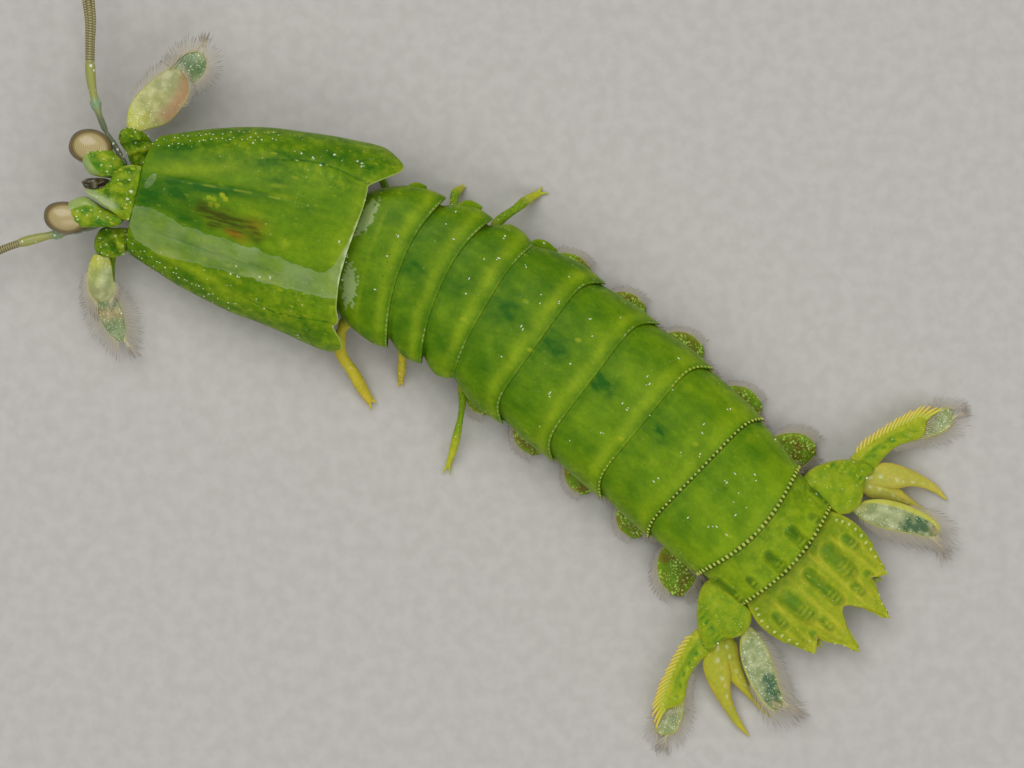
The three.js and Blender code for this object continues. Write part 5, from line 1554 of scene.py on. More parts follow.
SHELL_FLECKS = [
    (60.2, 8.2), (59.5, 8.6), (60.6, 7.3), (58.6, 7.9), (61.1, 6.6), (59.9, 9.25), (58, 7.4), (60.9, 8.9),
]
COMB_SPINES = 19
TAIL_FRINGES = [
    ("inner", 1, (0.5, 0.985), 26, [(0, 0.8), (0.35, 1.8), (1, 2.7)], (50, 72)),
    ("inner", -1, (0.12, 0.985), 44, [(0, 0.7), (0.3, 1.5), (0.7, 2.3), (1, 2.7)], (30, 60)),
    ("inner", -1, (0.9, 1), 16, [(0, 2.7), (1, 2.6)], (60, 15), 0.2),
    ("end", -1, (0.1, 0.98), 20, [(0, 1), (1, 1.9)], (35, 70)),
    ("end", 1, (0.05, 0.98), 24, [(0, 1.2), (0.5, 1.8), (1, 2)], (20, 65)),
    ("end", 1, (0.9, 1), 12, [(0, 1.9), (1, 1.8)], (60, 10), 0.2),
    ("outer", 1, (0.35, 0.95), 26, [(0, 0.8), (1, 1.4)], (15, 40)),
]
BRISTLE_ROOT_DEPTH, BRISTLE_DROOP = 0.12, 0.35


def mirrored(shape, side):
    """The outlines of a blade drawn for the right side, mirrored where side is -1."""
    return {**shape, **{edge: [(s, side * y) for s, y in shape[edge]] for edge in ("first", "second")}}


def limb_rim(path, girths, edge):
    """Rim of a limb: a function that gives points, outward and onward directions along one edge
    (edge 1 or -1) at shares of it."""

    def rim(shares):
        """Middle line, moved sideways by the half width."""
        points, tangents = centreline(path, shares)
        across = level_axes(tangents)[0]
        widths = smooth([stop[:2] for stop in girths], shares)
        return points + across * (edge * widths)[:, None], across * edge, tangents

    return rim


def blade_rim(shape, edge, lean=0.0):
    """Rim of a blade along its first (edge -1) or second (edge 1) outline."""

    def rim(shares):
        """Edge, the level direction away from the other edge, and the level direction onwards."""
        a, b = edges(shape["first"], shape["second"], shape["heights"], shares, lean)
        own, other = (b, a) if edge > 0 else (a, b)
        onward = unit(np.gradient(own, axis=0) * [1, 1, 0])
        outward = np.stack([-onward[:, 1], onward[:, 0], 0 * onward[:, 0]], -1)
        turned = np.sign(np.sum(outward * (own - other), axis=-1, keepdims=True))
        return own, outward * np.where(turned == 0, 1, turned), onward

    return rim


def fringe(form, row, rim, span, count, lengths, lie, spread=0.05, width=0.042):
    """Bristles along a rim: rooted just inside it, leaning onwards from square by the two lie
    degrees of its ends, as long as the lengths (stops over the rim) say, and drooping a little. The
    row is theirs in the bake."""
    order = (np.arange(count) + 0.5) / count
    roots, outward, onward = rim(lerp(*span, order))
    turn = np.radians(lerp(*lie, order)) + random.uniform(-spread, spread, count)
    length = smooth(lengths, order) * random.uniform(0.85, 1.08, count)
    ahead = outward * np.cos(turn)[:, None] + onward * np.sin(turn)[:, None]
    lift = random.uniform(-0.06, 0.1, count)
    reaches = ahead * length[:, None] + np.outer(lift, [0, 0, 1])
    sway = [random.uniform(-0.05, 0.05, count) * length for _ in range(2)]
    sag = -BRISTLE_DROOP * np.minimum(length * 0.3, np.maximum(roots[:, 2] - 0.25, 0) * 0.6)
    droop = np.stack([*sway, sag], -1)
    roots = roots - outward * BRISTLE_ROOT_DEPTH
    surface, along = cones(roots, reaches, width, around=3, droop=droop, taper=0.45)
    form.add(surface, along=along, uv=bristle_uv(order, row, along))


def tail_base(name, side):
    """Base of the tail limb: a puckered blade with a dark dotted row and pale flecks."""
    pucker = lambda a, b: 0.07 * np.sin(a * 19 + b * 4) * np.cos(b * 7)
    surface, _, x = blade(**mirrored(TAIL_BASE, side), rows=80, around=60, squareness=3.2, swell=pucker)
    at, across = seen(surface[0], 0)
    row = hill(across * side - 8.15 - 0.25 * (at - 59), 0.45) * step(np.sin(at * 13), -0.2, 0.7)
    shade = 0.15 * step(lumps(at, across, 1.1, 8), 0.1, 0.8) + 0.7 * row
    glow = 0.5 * hill(1 - np.abs(x), 0.12)
    masks = dict(warm=0.55, mottle=0.3, shade=shade, glow=glow, freckle=0.85, dash=1.0, pore=0.6)
    piece = Form(0).add(surface, **masks)
    tops = [(s, y * side, smooth(TAIL_BASE["heights"], (y - 5) / 4.9) + 0.83) for s, y in SHELL_FLECKS]
    piece.add(pearls(tops, (0.1, 0.1, 0.09)), bead=1.0).build("tail_limb_base_" + name, TAIL)


def prong(name, side, label, shape):
    """One prong of the forked process: golden at its edges and tip, with a broken pearly line."""
    shape = mirrored({**shape, "heights": PRONG_HEIGHTS[label], "depths": PRONG_DEPTHS[label]}, side)
    keel = lambda a, b: 0.16 * hill(b, 0.22) * (1 - a)
    surface, along, x = blade(**shape, blunt=(0.05, 0.002), rows=90, around=40, swell=keel)
    lit = name == "right"
    shade = 0.3 * step(along, 0.02, 0.1) * (1 - step(along, 0.25, 0.45)) * hill(x, 0.6)
    line = hill(x - 0.25 + 0.12 * np.sin(along * 9), 0.13) * (1 - step(along, 0.6, 0.85))
    broken = step(np.sin(along * 67 + 4 * x) + np.sin(along * 41 - 9 * x), 0.1, 0.9)
    masks = dict(
        glow=0.1 + 0.4 * along + 0.8 * step(np.abs(x), 0.8, 0.98) + (0.3 if lit else 0.1), shade=shade,
        bead=0.6 * line * broken + (0.1 if lit else 0.03), freckle=1.6 * line + 0.3 - along,
        warm=0.5, mottle=0.2,
    )
    nodes = ["uropod_base_" + name] if label == "outer" else []
    Form(0).add(surface, **masks).build(f"{label}_prong_{name}", PRONG, nodes)


def outer_blade(name, shape):
    """Outer blade: a ridged, freckled shell blade, golden towards its comb and its end."""
    ribs = lambda a, b: 0.1 * hill(b + 0.45, 0.2) + 0.05 * np.sin(a * 60) * (b < -0.4)
    surface, along, x = blade(**shape, blunt=(0.04, 0.12), rows=80, around=52, swell=ribs)
    shade = 0.45 * hill(x + 0.1, 0.3) * (1 - step(along, 0.5, 0.9))
    shade = shade + 0.8 * hill(x - 0.3, 0.17) * step(np.sin(along * 45), 0, 0.8)
    glow = 0.75 * step(-x, 0.15, 0.7) + 0.55 * step(along, 0.5, 1) + 0.5 * step(x, 0.8, 1)
    piece = Form(0).add(surface, warm=0.8, mottle=0.3, shade=shade, glow=glow, freckle=1.0, dash=0.8)
    piece.build("outer_blade_" + name, TAIL, ["uropod_exopod_" + name])


def comb_of(name, outer):
    """Comb of curved spines along the outer edge of the outer blade, longer and more onward
    towards its end."""
    order = np.arange(COMB_SPINES) / (COMB_SPINES - 1)
    roots, outward, onward = blade_rim(outer, -1)(lerp(0.1, 0.97, order))
    turn = np.radians(lerp(34, 56, order))
    length = lerp(0.8, 1.5, order**0.8) * random.uniform(0.9, 1.1, COMB_SPINES)
    reaches = (outward * np.cos(turn)[:, None] + onward * np.sin(turn)[:, None]) * length[:, None]
    droop = onward * (0.3 * length)[:, None] - outward * (0.14 * length)[:, None] + [0, 0, -0.08]
    roots = roots - outward * 0.4 + [0, 0, 0.14]
    surface, along = cones(roots, reaches + outward * 0.2, 0.23, rows=8, droop=droop, taper=0.6)
    Form(0).add(surface, along=along).build("comb_" + name, COMB)


def end_blade(name, shape):
    """Clear end blade with a golden rim and a dark middle."""
    surface, along, x = blade(**shape, blunt=(0.1, 0.3), rows=50, around=40)
    glow = 0.95 * step(np.abs(x), 0.8, 0.96) + 0.6 * (1 - step(along, 0.05, 0.5)) + 0.3 * step(along, 0.75, 1)
    shade = 0.4 * hill(x - 0.1, 0.45) * hill(along - 0.4, 0.22)
    piece = Form(0).add(surface, glow=glow, shade=shade, freckle=1.0)
    piece.build("end_blade_" + name, BLADE, ["uropod_paddle_" + name])


def inner_blade(name, side, shape):
    """Clear inner blade with a ragged dark patch, a golden border and freckles along it."""
    fold = lambda a, b: 0.06 * hill(b + 0.1, 0.3)
    surface, along, x = blade(**shape, blunt=(0.05, 0.1), rows=90, around=52, swell=fold)
    at, across = seen(surface[0], 0)
    right = across * side
    patch = blob(at, right, (66.7, 8.85), (1.6, 0.85), 32)
    patch = np.maximum(patch, blob(at, right, (65.9, 8.35), (0.75, 0.75)))
    patch = patch + 0.22 * lumps(at, across, 0.7, 24)
    border = 0.55 if name == "right" else 0.84
    sparkle = 0.45 + 0.6 * hill(x - border + 0.16, 0.14) + 0.6 * hill(x + 0.72, 0.2)
    glow = 0.9 * step(x, border, border + 0.12) + 0.95 * step(-x, 0.9, 0.97)
    masks = dict(
        glow=glow + 0.6 * (1 - step(along, 0.03, 0.2)),
        shade=0.95 * step(patch, 0.2, 0.9) + 0.4 * hill(x - border + 0.08, 0.07),
        rust=0.5 * blob(at, right, (67.8, 9.5), (0.5, 0.35)) + 0.3 * step(np.abs(x), 0.93, 0.99),
        freckle=sparkle + 0.35 * (name == "left"),
    )
    Form(0).add(surface, **masks).build("inner_blade_" + name, BLADE, ["uropod_endopod_" + name])


def tail_limbs(name, side, bristles):
    """Base with its two prongs, outer blade with its comb, end blade and inner blade of one side,
    and their fringes."""
    blades = dict(outer=OUTER_BLADE, end=END_BLADE, inner=INNER_BLADE)
    blades = {label: mirrored(shape, side) for label, shape in blades.items()}
    tail_base(name, side)
    prong(name, side, "outer", OUTER_PRONG[name])
    prong(name, side, "inner", INNER_PRONG[name])
    outer_blade(name, blades["outer"])
    comb_of(name, blades["outer"])
    end_blade(name, blades["end"])
    inner_blade(name, side, blades["inner"])
    for row, (label, edge, *bristling) in enumerate(TAIL_FRINGES):
        fringe(bristles, row, blade_rim(blades[label], edge), *bristling)


# Head

HEAD = [
    (-2.7, -0.15, 5.6, 0.9, 0.4), (-2, -0.1, 5.5, 1.7, 0.65), (0, 0, 5.2, 2.5, 0.95), (2, 0, 5, 2.9, 1.5),
    (7, 0, 5.1, 3.2, 2), (12, 0, 5.4, 3.3, 2.1), (16.4, 0, 5.6, 3.7, 1.6),
]
ROSTRAL_PLATE = dict(
    first=[
        (-4.5, -0.3), (-3.8, -0.2), (-3.1, 0.1), (-2.7, 0.7), (-2.5, 1.3), (-2.1, 1.95), (-1.4, 2.35),
        (-0.35, 2.5),
    ],
    second=[
        (-4.5, -0.42), (-4.1, -0.72), (-3.5, -0.98), (-2.9, -1.2), (-2.2, -1.5), (-1.5, -1.75),
        (-0.9, -1.95), (-0.35, -2),
    ],
    heights=[(0, 6.75), (0.3, 6.95), (1, 7.25)], depths=[(0, 0.12), (0.3, 0.2), (1, 0.25)],
)
EYES = {
    "right": dict(
        first=[(-1.3, 1.3), (-2.2, 1.1), (-3.25, 0.93), (-4.45, 0.98), (-5.35, 1.93), (-6.2, 2.85)],
        second=[(-1.2, 1.5), (-1.7, 2.2), (-2.3, 2.7), (-2.8, 3), (-3, 3.15), (-3.25, 3.3)],
        cornea=(-4.78, 3.05), size=(1.78, 1.42), turn=-3,
    ),
    "left": dict(
        first=[
            (-0.8, -1.6), (-1.9, -1.55), (-2.7, -1.4), (-3.5, -1.1), (-4.25, -0.88), (-5.25, -1.39),
            (-6, -2.3),
        ],
        second=[
            (-0.9, -2.2), (-1.4, -2.65), (-2.4, -2.95), (-3, -3.1), (-3.5, -3.25), (-3.8, -3.35),
            (-4.2, -3.45),
        ],
        cornea=(-5.42, -2.92), size=(1.8, 1.3), turn=7,
    ),
}
EYE_HEIGHT = 6.1
DARK_HOLLOW = dict(
    first=[(-4.85, 0.36), (-4.6, 0.62), (-4.05, 0.72), (-3.2, 0.86), (-2.4, 0.9)],
    second=[(-4.95, 0.02), (-4.6, -0.3), (-3.9, -0.36), (-3.1, -0.2), (-2.4, -0.1)],
    heights=[(0, 5.5), (1, 6)], depths=[(0, 0.35), (0.5, 0.5), (1, 0.4)],
)
ANTENNULES = {
    "right": dict(
        stem=[
            (-1.9, 2.4, 4.6), (-2.95, 3.53, 4.5), (-3.9, 4.46, 4.5), (-4.75, 5.64, 4.55),
            (-5.35, 6.66, 4.6), (-6.05, 8.21, 4.55), (-6.55, 9.83, 4.5),
        ],
        whip=[(-6.5, 9.7, 4.5), (-6.85, 11.2, 4.4), (-7.2, 12.8, 4.3), (-8, 15.2, 4), (-8.7, 19.2, 3.4)],
    ),
    "left": dict(
        stem=[(-2, -1.8, 4.6), (-3.2, -3.1, 4.4), (-5.5, -4.15, 4.2), (-7.3, -5, 4), (-8.7, -5.75, 3.8)],
        whip=[
            (-8.6, -5.7, 3.8), (-9.9, -6.55, 3.6), (-11.3, -7.7, 3.3), (-12.6, -9.1, 3),
            (-14.6, -12, 2.4),
        ],
    ),
}
STEM_GIRTHS = [
    (0, 0.22, 0.22), (0.3, 0.2, 0.2), (0.33, 0.16, 0.16), (0.36, 0.23, 0.22), (0.52, 0.27, 0.26),
    (0.6, 0.46, 0.4),
    (0.66, 0.32, 0.3), (0.8, 0.38, 0.36), (0.97, 0.38, 0.36), (1, 0.3, 0.3),
]
WHIP_GIRTHS = [(0, 0.22, 0.22), (0.5, 0.18, 0.18), (1, 0.06, 0.06)]
ANTENNAE = {
    "right": dict(
        base=dict(
            first=[(-1.4, 2.2), (-1.9, 3.2), (-2.8, 4.1), (-2.85, 4.8), (-2.5, 5.4)],
            second=[(-0.2, 2.3), (-0.1, 3.4), (0.05, 4.2), (-0.6, 4.95), (-1.2, 5.3)],
            heights=[(0, 4.7), (1, 4.5)], depths=[(0, 0.7), (0.5, 0.8), (1, 0.45)],
        ),
        feeler=[(-1.7, 4.7, 3.9), (-2, 6.2, 3.3), (-1.4, 8.4, 2.9), (0.6, 11.2, 2.4)],
        scale=dict(
            first=[
                (-2.35, 4.9), (-2.55, 5.7), (-2.6, 6.98), (-2.2, 8), (-1.1, 9.64), (-0.3, 10.5),
                (0.3, 10.85),
            ],
            second=[
                (-1.25, 5.1), (-0.65, 5.5), (0.55, 6.25), (1.35, 7.5), (1.75, 8.93), (1.5, 9.95),
                (0.9, 10.7),
            ],
            heights=[(0, 4.4), (1, 4.1)], depths=[(0, 0.3), (0.5, 0.2), (1, 0.16)],
        ),
        tip=dict(
            first=[(-0.1, 10.3), (0.1, 11.1), (0.5, 11.7), (1, 12.2), (1.6, 12.5)],
            second=[(1.8, 9.8), (2.4, 10.6), (2.6, 11.4), (2.45, 12), (2, 12.45)],
            heights=[(0, 3.95), (1, 3.75)], depths=[(0, 0.2), (1, 0.12)],
        ),
    ),
    "left": dict(
        base=dict(
            first=[(-0.3, -2.4), (-1.4, -2.75), (-2.45, -3), (-2.85, -3.9), (-2.65, -5.2)],
            second=[(0.2, -2.9), (0.1, -3.7), (-0.2, -4.5), (-0.8, -5), (-1.4, -5.3)],
            heights=[(0, 4.6), (1, 4.3)], depths=[(0, 0.7), (0.5, 0.75), (1, 0.45)],
        ),
        feeler=[(-1.1, -4.3, 3.5), (-1.2, -5.7, 2.8), (-0.7, -7.8, 2.2), (0.4, -10.4, 1.7)],
        scale=dict(
            first=[(-2.65, -5.1), (-2.85, -6.11), (-2.65, -7.32), (-2.2, -8.35), (-1.5, -9)],
            second=[(-1.5, -5), (-1.1, -5.69), (-0.75, -6.64), (-0.35, -7.59), (-0.5, -8.6)],
            heights=[(0, 4.2), (1, 3.7)], depths=[(0, 0.3), (0.5, 0.25), (1, 0.18)],
        ),
        tip=dict(
            first=[(-2, -8), (-1.85, -8.9), (-1.2, -9.9), (-0.65, -10.54), (0.05, -11.19), (0.85, -11.7)],
            second=[(-0.4, -7.8), (0.2, -8.6), (0.75, -9.52), (1.1, -10.3), (1.3, -10.9), (1.35, -11.45)],
            heights=[(0, 3.6), (1, 3.1)], depths=[(0, 0.25), (1, 0.12)],
        ),
    ),
}
GRAIN_CHANCE = np.random.default_rng(12)
FEELER_GIRTHS = [(0, 0.33, 0.33), (0.4, 0.27, 0.27), (1, 0.09, 0.09)]
PLATE_KNOBS = [(-0.8, 0.33, 7.5), (-0.95, -0.32, 7.5), (-3.4, -0.75, 7.15), (-1.15, 1.2, 7.45)]
PLATE_KNOB_SIZES = [(0.2, 0.15, 0.1), (0.16, 0.12, 0.1), (0.1, 0.08, 0.06), (0.1, 0.07, 0.06)]
EYE_DEPTHS = [(0, 0.6), (0.4, 0.9), (0.8, 0.98), (1, 0.9)]
EYE_KNOBS = [(0.3, 0.5), (0.42, 0.35), (0.5, 0.62), (0.6, 0.45), (0.7, 0.6), (0.82, 0.4), (0.9, 0.66)]
WHIP_SPREADS, WHIP_GROWTH, WHIP_LIFT = (-0.16, 0, 0.16), 0.3, 0.25
SCALE_FRINGES = [
    ("scale", -1, (0.35, 0.97), 32, [(0, 0.7), (0.5, 1.6), (1, 1.8)], (35, 55)),
    ("tip", -1, (0.1, 0.99), 32, [(0, 1.4), (0.5, 1.6), (1, 1.9)], (5, 50)),
    ("tip", 1, (0.05, 0.99), 34, [(0, 1.2), (0.4, 1.6), (1, 1.9)], (-30, 55)),
    ("tip", 1, (0.9, 1), 14, [(0, 1.9), (1, 1.9)], (70, 20), 0.2),
    ("scale", 1, (0.55, 0.97), 22, [(0, 0.6), (1, 1.3)], (25, 60)),
]


def rostral_plate():
    """Plate with its spine over the eye stalks: fine rays across it, a wet strip with a painted reflection,
    and four knobs.
    """
    fold = lambda a, b: 0.12 * hill(b + 0.15, 0.16) * (1 - 0.4 * a)
    rays = lambda a, b: 0.035 * np.cos(b * 13) * step(a, 0.3, 0.6) + fold(a, b)
    surface, along, x = blade(**ROSTRAL_PLATE, lean=1.0, blunt=(0.02, 0.03), rows=110, around=80, swell=rays)
    s, y = surface[0][:, 0], surface[0][:, 1]
    # The wet strip along the spine takes the film and its painted reflection, with cream.
    strip = ridge(s, y, (-4.5, -0.5), (-1.6, -1.15), 0.34) * (1 - step(s, -2.2, -1.2))
    ray = 0.5 + 0.5 * np.cos(x * 13 + 1.2)
    masks = dict(
        warm=0.4 + 0.4 * ray, glow=0.35 * ray * step(along, 0.35, 0.7) + 0.5 * step(np.abs(x), 0.93, 1.0),
        mottle=0.7, shade=0.12 + 0.3 * hill(x - 0.35, 0.12), film=0.9 * strip, bead=0.5 * strip,
        freckle=1.0, dash=1.0, pore=0.9,
    )
    form = Form().add(surface, **masks).add(pearls(unseen(PLATE_KNOBS), PLATE_KNOB_SIZES), bead=0.8)
    form.build("rostral_plate", GREEN, ["rostrum"])


def head():
    """Body of the head under the carapace, the rostral plate, and the dark folded hollow between
    the eyes, whose darkness is partly painted shade."""
    core = loft(HEAD, rows=60, around=60)
    Form().add(core, warm=0.3, shade=0.3, freckle=0.5, pore=0.5).build("head_skin", GREEN, ["head"])
    rostral_plate()
    # The dark hollow stands partly for shade between the eyes: painted shade.
    folds = lambda a, b: 0.1 * np.sin(a * 15 + 3 * b) - 0.16 * hill(b - 0.1, 0.25)
    hollow = blade(**DARK_HOLLOW, lean=1.0, blunt=(0.5, 0.3), rows=60, around=48, swell=folds)[0]
    Form().add(hollow).build("shaded_hollow_between_eyes", HOLLOW_AND_SHADE)


def eye_stalk(name, shape):
    """Eye stalk between its front and rear outlines, widening to the rim, with cream knobs; on the front
    side its rim is wet, with a painted bluish reflection."""
    outlines, heights = (shape["first"], shape["second"]), [(0, EYE_HEIGHT - 0.1), (1, EYE_HEIGHT)]
    bumps = lambda a, b: 0.06 * np.sin(a * 21 + 3 * b) * np.cos(b * 8 + 4 * a)
    sections = (HEAD_LIMB_LEAN, (0.06, 0.09), 80, 64, 2.3)
    surface, along, x = blade(*outlines, heights, EYE_DEPTHS, *sections, bumps)
    s, y, z = surface[0].T
    # Painted reflection: the wet front of the rim takes the film's pale veil and some cream.
    wet_and_reflection = step(-x, 0.42, 0.6) * step(along, 0.35, 0.6)
    swirl = step(lumps(s, y, 1.5, 7), 0.1, 0.7) * (1 - wet_and_reflection)
    masks = dict(
        warm=0.1 + 0.35 * swirl, mottle=0.65 * (1 - wet_and_reflection), glow=0.25 * swirl, film=wet_and_reflection, bead=0.2 * wet_and_reflection,
        shade=(0.32 + 0.4 * step(lumps(s, y, 1.2, 6), 0.1, 0.8)) * (1 - wet_and_reflection),
        freckle=0.95 * (z > EYE_HEIGHT), dash=1.0, pore=0.9,
    )
    shares, across = np.array(EYE_KNOBS).T
    a, b = edges(*outlines, [(0, EYE_HEIGHT + 0.86), (1, EYE_HEIGHT + 0.93)], shares, HEAD_LIMB_LEAN)
    piece = Form(HEAD_LIMB_LEAN).add(surface, **masks)
    piece.add(pearls(lerp(a, b, across[:, None]), (0.11, 0.09, 0.07)), bead=0.45, glow=0.6)
    piece.build("eye_stalk_skin_" + name, TAIL, ["eye_stalk_" + name])


def cornea(name, side, shape):
    """Cornea: a bean whose outward half shows beyond the rim of its stalk, banded by its outward
    place."""
    turn = math.radians(shape["turn"])
    run = np.array([math.cos(turn), math.sin(turn)])
    outward = side * np.array([-math.sin(turn), math.cos(turn)])
    length, reach = shape["size"]
    tilt, spin = np.meshgrid(np.linspace(0.05, math.pi - 0.05, 70), around_once(80), indexing="ij")
    girth = np.sin(tilt) ** 0.85
    out = reach * girth * np.cos(spin) - 0.1 * np.cos(tilt) ** 2
    place = np.array(shape["cornea"]) + run * (-length * np.cos(tilt))[..., None] + outward * out[..., None]
    rows = np.concatenate([place, (EYE_HEIGHT - 0.12 + 1.08 * girth * np.sin(spin))[..., None]], -1)
    far = np.hypot(np.cos(tilt), girth * np.cos(spin))
    bean = tube(unseen(rows, HEAD_LIMB_LEAN))
    piece = Form(HEAD_LIMB_LEAN).add(bean, across=far, shade=step(far, 0.93, 0.99))
    piece.build("cornea_glass_" + name, CORNEA, ["cornea_" + name])


def grains_on(points, floor_level, count, size):
    """Small grains at places drawn by chance from a surface's points above a level, each an oval
    of a size near the given one, half sunk."""
    upper = points[points[:, 2] > floor_level]
    places = upper[GRAIN_CHANCE.integers(0, len(upper), count)]
    sizes = size * GRAIN_CHANCE.uniform(0.6, 1.4, (count, 1)) * [1.0, 1.0, 0.7]
    return pearls(places, sizes)


def antennule(name, shape):
    """Antennule: a jointed stem, clear as far as its joint and golden beyond, and three ringed
    whips that spread from its end."""
    surface, along, _ = limb(unseen(shape["stem"], HEAD_LIMB_LEAN), STEM_GIRTHS, rows=90, around=20)
    clear, joint = 1 - step(along, 0.42, 0.6), hill(along - 0.6, 0.05)
    masks = dict(warm=0.95 * (1 - clear), shade=0.85 * clear, film=0.8 * joint, freckle=1.0, along=0.01)
    piece = Form(HEAD_LIMB_LEAN).add(surface, **masks)
    for spread in WHIP_SPREADS:
        path = np.array(shape["whip"], float)
        growth = np.arange(len(path)) ** 2 * WHIP_GROWTH
        path[:, 0] += spread * (1 + 0.5 * growth)
        path[:, 2] += WHIP_LIFT if spread == 0 else 0
        surface, along, _ = limb(unseen(path, HEAD_LIMB_LEAN), WHIP_GIRTHS, rows=180, around=12)
        piece.add(surface, along=along + 0.001, freckle=0.15)
    piece.build("antennule_skin_" + name, FEELER, ["antennule_" + name])


def antenna_folds(along, x):
    """Folds of an antenna's base: a swelling before a crease, and fine wrinkles over both."""
    crease = 0.26 * hill(along - 0.42 - 0.12 * x, 0.08) - 0.3 * hill(along - 0.6 - 0.1 * x, 0.05)
    return crease + 0.12 * np.cos(x * 7 + 5 * along) + 0.07 * np.sin(along * 31 + x * 5) * np.cos(x * 13)


def antenna(name, shape):
    """Antenna: a folded base with grains, and its feeler."""
    base = {**shape["base"], "lean": HEAD_LIMB_LEAN, "blunt": (0.2, 0.15), "swell": antenna_folds}
    surface, along, x = blade(**base, rows=60, around=52)
    masks = dict(
        glow=0.1 + 0.6 * hill(along - 0.42 - 0.12 * x, 0.06),
        shade=0.15 + 0.7 * hill(along - 0.6 - 0.1 * x, 0.06),
        warm=0.45, mottle=0.85, freckle=1.0, pore=1.0, dash=1.0,
    )
    piece = Form(HEAD_LIMB_LEAN).add(surface, **masks).add(grains_on(surface[0], 4.6, 22, 0.075), bead=0.7)
    surface, along, x = limb(shape["feeler"], FEELER_GIRTHS, rows=60, around=12)
    piece.add(surface, warm=0.6, shade=0.3, glow=0.4 * along, freckle=0.5)
    piece.build("antenna_skin_" + name, GREEN, ["antenna_" + name])


def antennal_scale(name, shape, bristles):
    """Clear antennal scale with its tip, stained olive at its base, and their fringes."""
    fold = lambda a, b: 0.06 * hill(b + 0.2, 0.25) * (1 - a)
    lean = HEAD_LIMB_LEAN
    surface, along, x = blade(**shape["scale"], lean=lean, blunt=(0.05, 0.12), rows=90, around=52, swell=fold)
    base = 1 - step(along, 0.12, 0.42)
    olive = 0.55 * base + 0.35 * (1 - step(along, 0.4, 0.8)) * (1 - step(x, -0.2, 0.5))
    if name == "right":
        rust = 0.75 * (step(x, 0.0, 0.75) * step(along, 0.2, 0.4)) + 0.22
    else:
        rust = 0.75 * (0.25 * step(along, 0.5, 0.8))
    freckle = 0.75 + 0.5 * base - 0.45 * step(along, 0.5, 0.8) - 0.3 * step(x, 0.1, 0.6)
    glow = olive + 0.6 * step(np.abs(x), 0.9, 1)
    piece = Form(lean).add(surface, rust=rust, glow=glow, shade=0.45 * base, freckle=freckle)
    surface, along, x = blade(**shape["tip"], lean=lean, blunt=(0.1, 0.3), rows=50, around=44)
    banded = name == "left"
    dark = 0.75 * hill(along - 0.5, 0.5) * (1 - 0.4 * hill(along - 0.45, 0.14) * banded)
    piece.add(surface, shade=dark, rust=0.5 * hill(along - 0.42, 0.12) * banded, freckle=0.9)
    piece.build("scale_skin_" + name, BLADE, ["antennal_scale_" + name])
    for row, (label, edge, *bristling) in enumerate(SCALE_FRINGES, len(TAIL_FRINGES)):
        fringe(bristles, row, blade_rim(shape[label], edge, lean), *bristling)


# Claws, legs and swimming flaps

CLAW_UPPER_ARM = [(14.2, 4.9, 4.7), (9.5, 5.1, 4.5), (5.2, 4.4, 4.1), (2.4, 3.7, 3.7)]
CLAW_UPPER_ARM_GIRTHS = [(0, 0.7, 0.8), (0.3, 1.15, 1.25), (0.65, 1.05, 1.15), (1, 0.6, 0.7)]
CLAW_HAND = [(2, 3.75, 3.1), (1.1, 3.75, 2.2), (2.2, 4, 1.5), (6.5, 4.9, 1.5), (12.2, 5.2, 1.6)]
CLAW_HAND_GIRTHS = [(0, 0.5, 0.4), (0.12, 0.8, 0.7), (0.35, 0.9, 0.95), (0.7, 0.85, 0.9), (1, 0.45, 0.5)]
CLAW_FINGER = [(12.4, 4.1, 1.6), (11.3, 3.4, 1.6), (8, 3.1, 1.5), (5, 2.9, 1.5), (3, 2.75, 1.5)]
CLAW_FINGER_GIRTHS = [(0, 0.45, 0.45), (0.3, 0.42, 0.45), (0.8, 0.3, 0.3), (1, 0.06, 0.06)]
FEEDING_GIRTHS = [(0, 0.45, 0.45), (0.5, 0.35, 0.35), (0.72, 0.42, 0.42), (0.88, 0.8, 0.5), (1, 0.4, 0.3)]
FEEDING_LIMBS = 3
FEEDING_START, FEEDING_PITCH = 13.2, 3.3
FEEDING_PATH = [(0, 2.4, 3.5), (-0.6, 1.6, 2.4), (-1.2, 1.2, 1.8), (-2.2, 1.6, 1.3), (-3.1, 1.9, 1.2)]
LEGS = {
    "right_1": [(20.3, 3, 3.5), (18.9, 5.2, 3.1), (17.9, 6.4, 2.2), (17.7, 7.1, 0.3)],
    "right_2": [(24.4, 3, 3.4), (23.7, 5.6, 3), (23.3, 7.1, 1.8), (23.5, 7.8, 0.3)],
    "right_3": [(28, 3, 3.3), (26.7, 5.8, 3.1), (27.5, 8.3, 2.5), (27.9, 9.4, 0.9), (28.25, 10.1, 0.22)],
    "left_1": [
        (20.3, -3, 3.4), (18.5, -5.8, 2.6), (18.8, -7.7, 2.3), (20.8, -9.3, 1.6), (22.3, -10.3, 0.8),
        (23.1, -10.75, 0.5),
    ],
    "left_2": [(24.4, -3, 3.4), (24.1, -5.6, 3), (24.7, -7.1, 1.7), (25.2, -8.3, 0.3)],
    "left_3": [(28, -3, 3), (30, -5.6, 2.4), (31.9, -7.7, 2.2), (33.3, -10.4, 1.2), (34, -12.3, 0.3)],
}
LEG_STOUTNESS = {"left_1": 1.55, "left_2": 1.25}
LEG_GIRTHS = [
    (0, 0.46, 0.46), (0.3, 0.34, 0.34), (0.34, 0.27, 0.27), (0.4, 0.35, 0.34), (0.6, 0.29, 0.29),
    (0.8, 0.35, 0.33), (1, 0.22, 0.2),
]
FLAP_REACH = {
    "right": [0, 0.2, 0.5, 0.2, 0.9], "left": [0, 0.3, 0.4, 0.3, 1.3],
}
FLAP_GIRTHS = [(0, 0.6, 0.3), (0.25, 1.1, 0.28), (0.6, 1.6, 0.24), (0.85, 1.25, 0.2), (1, 0.5, 0.18)]
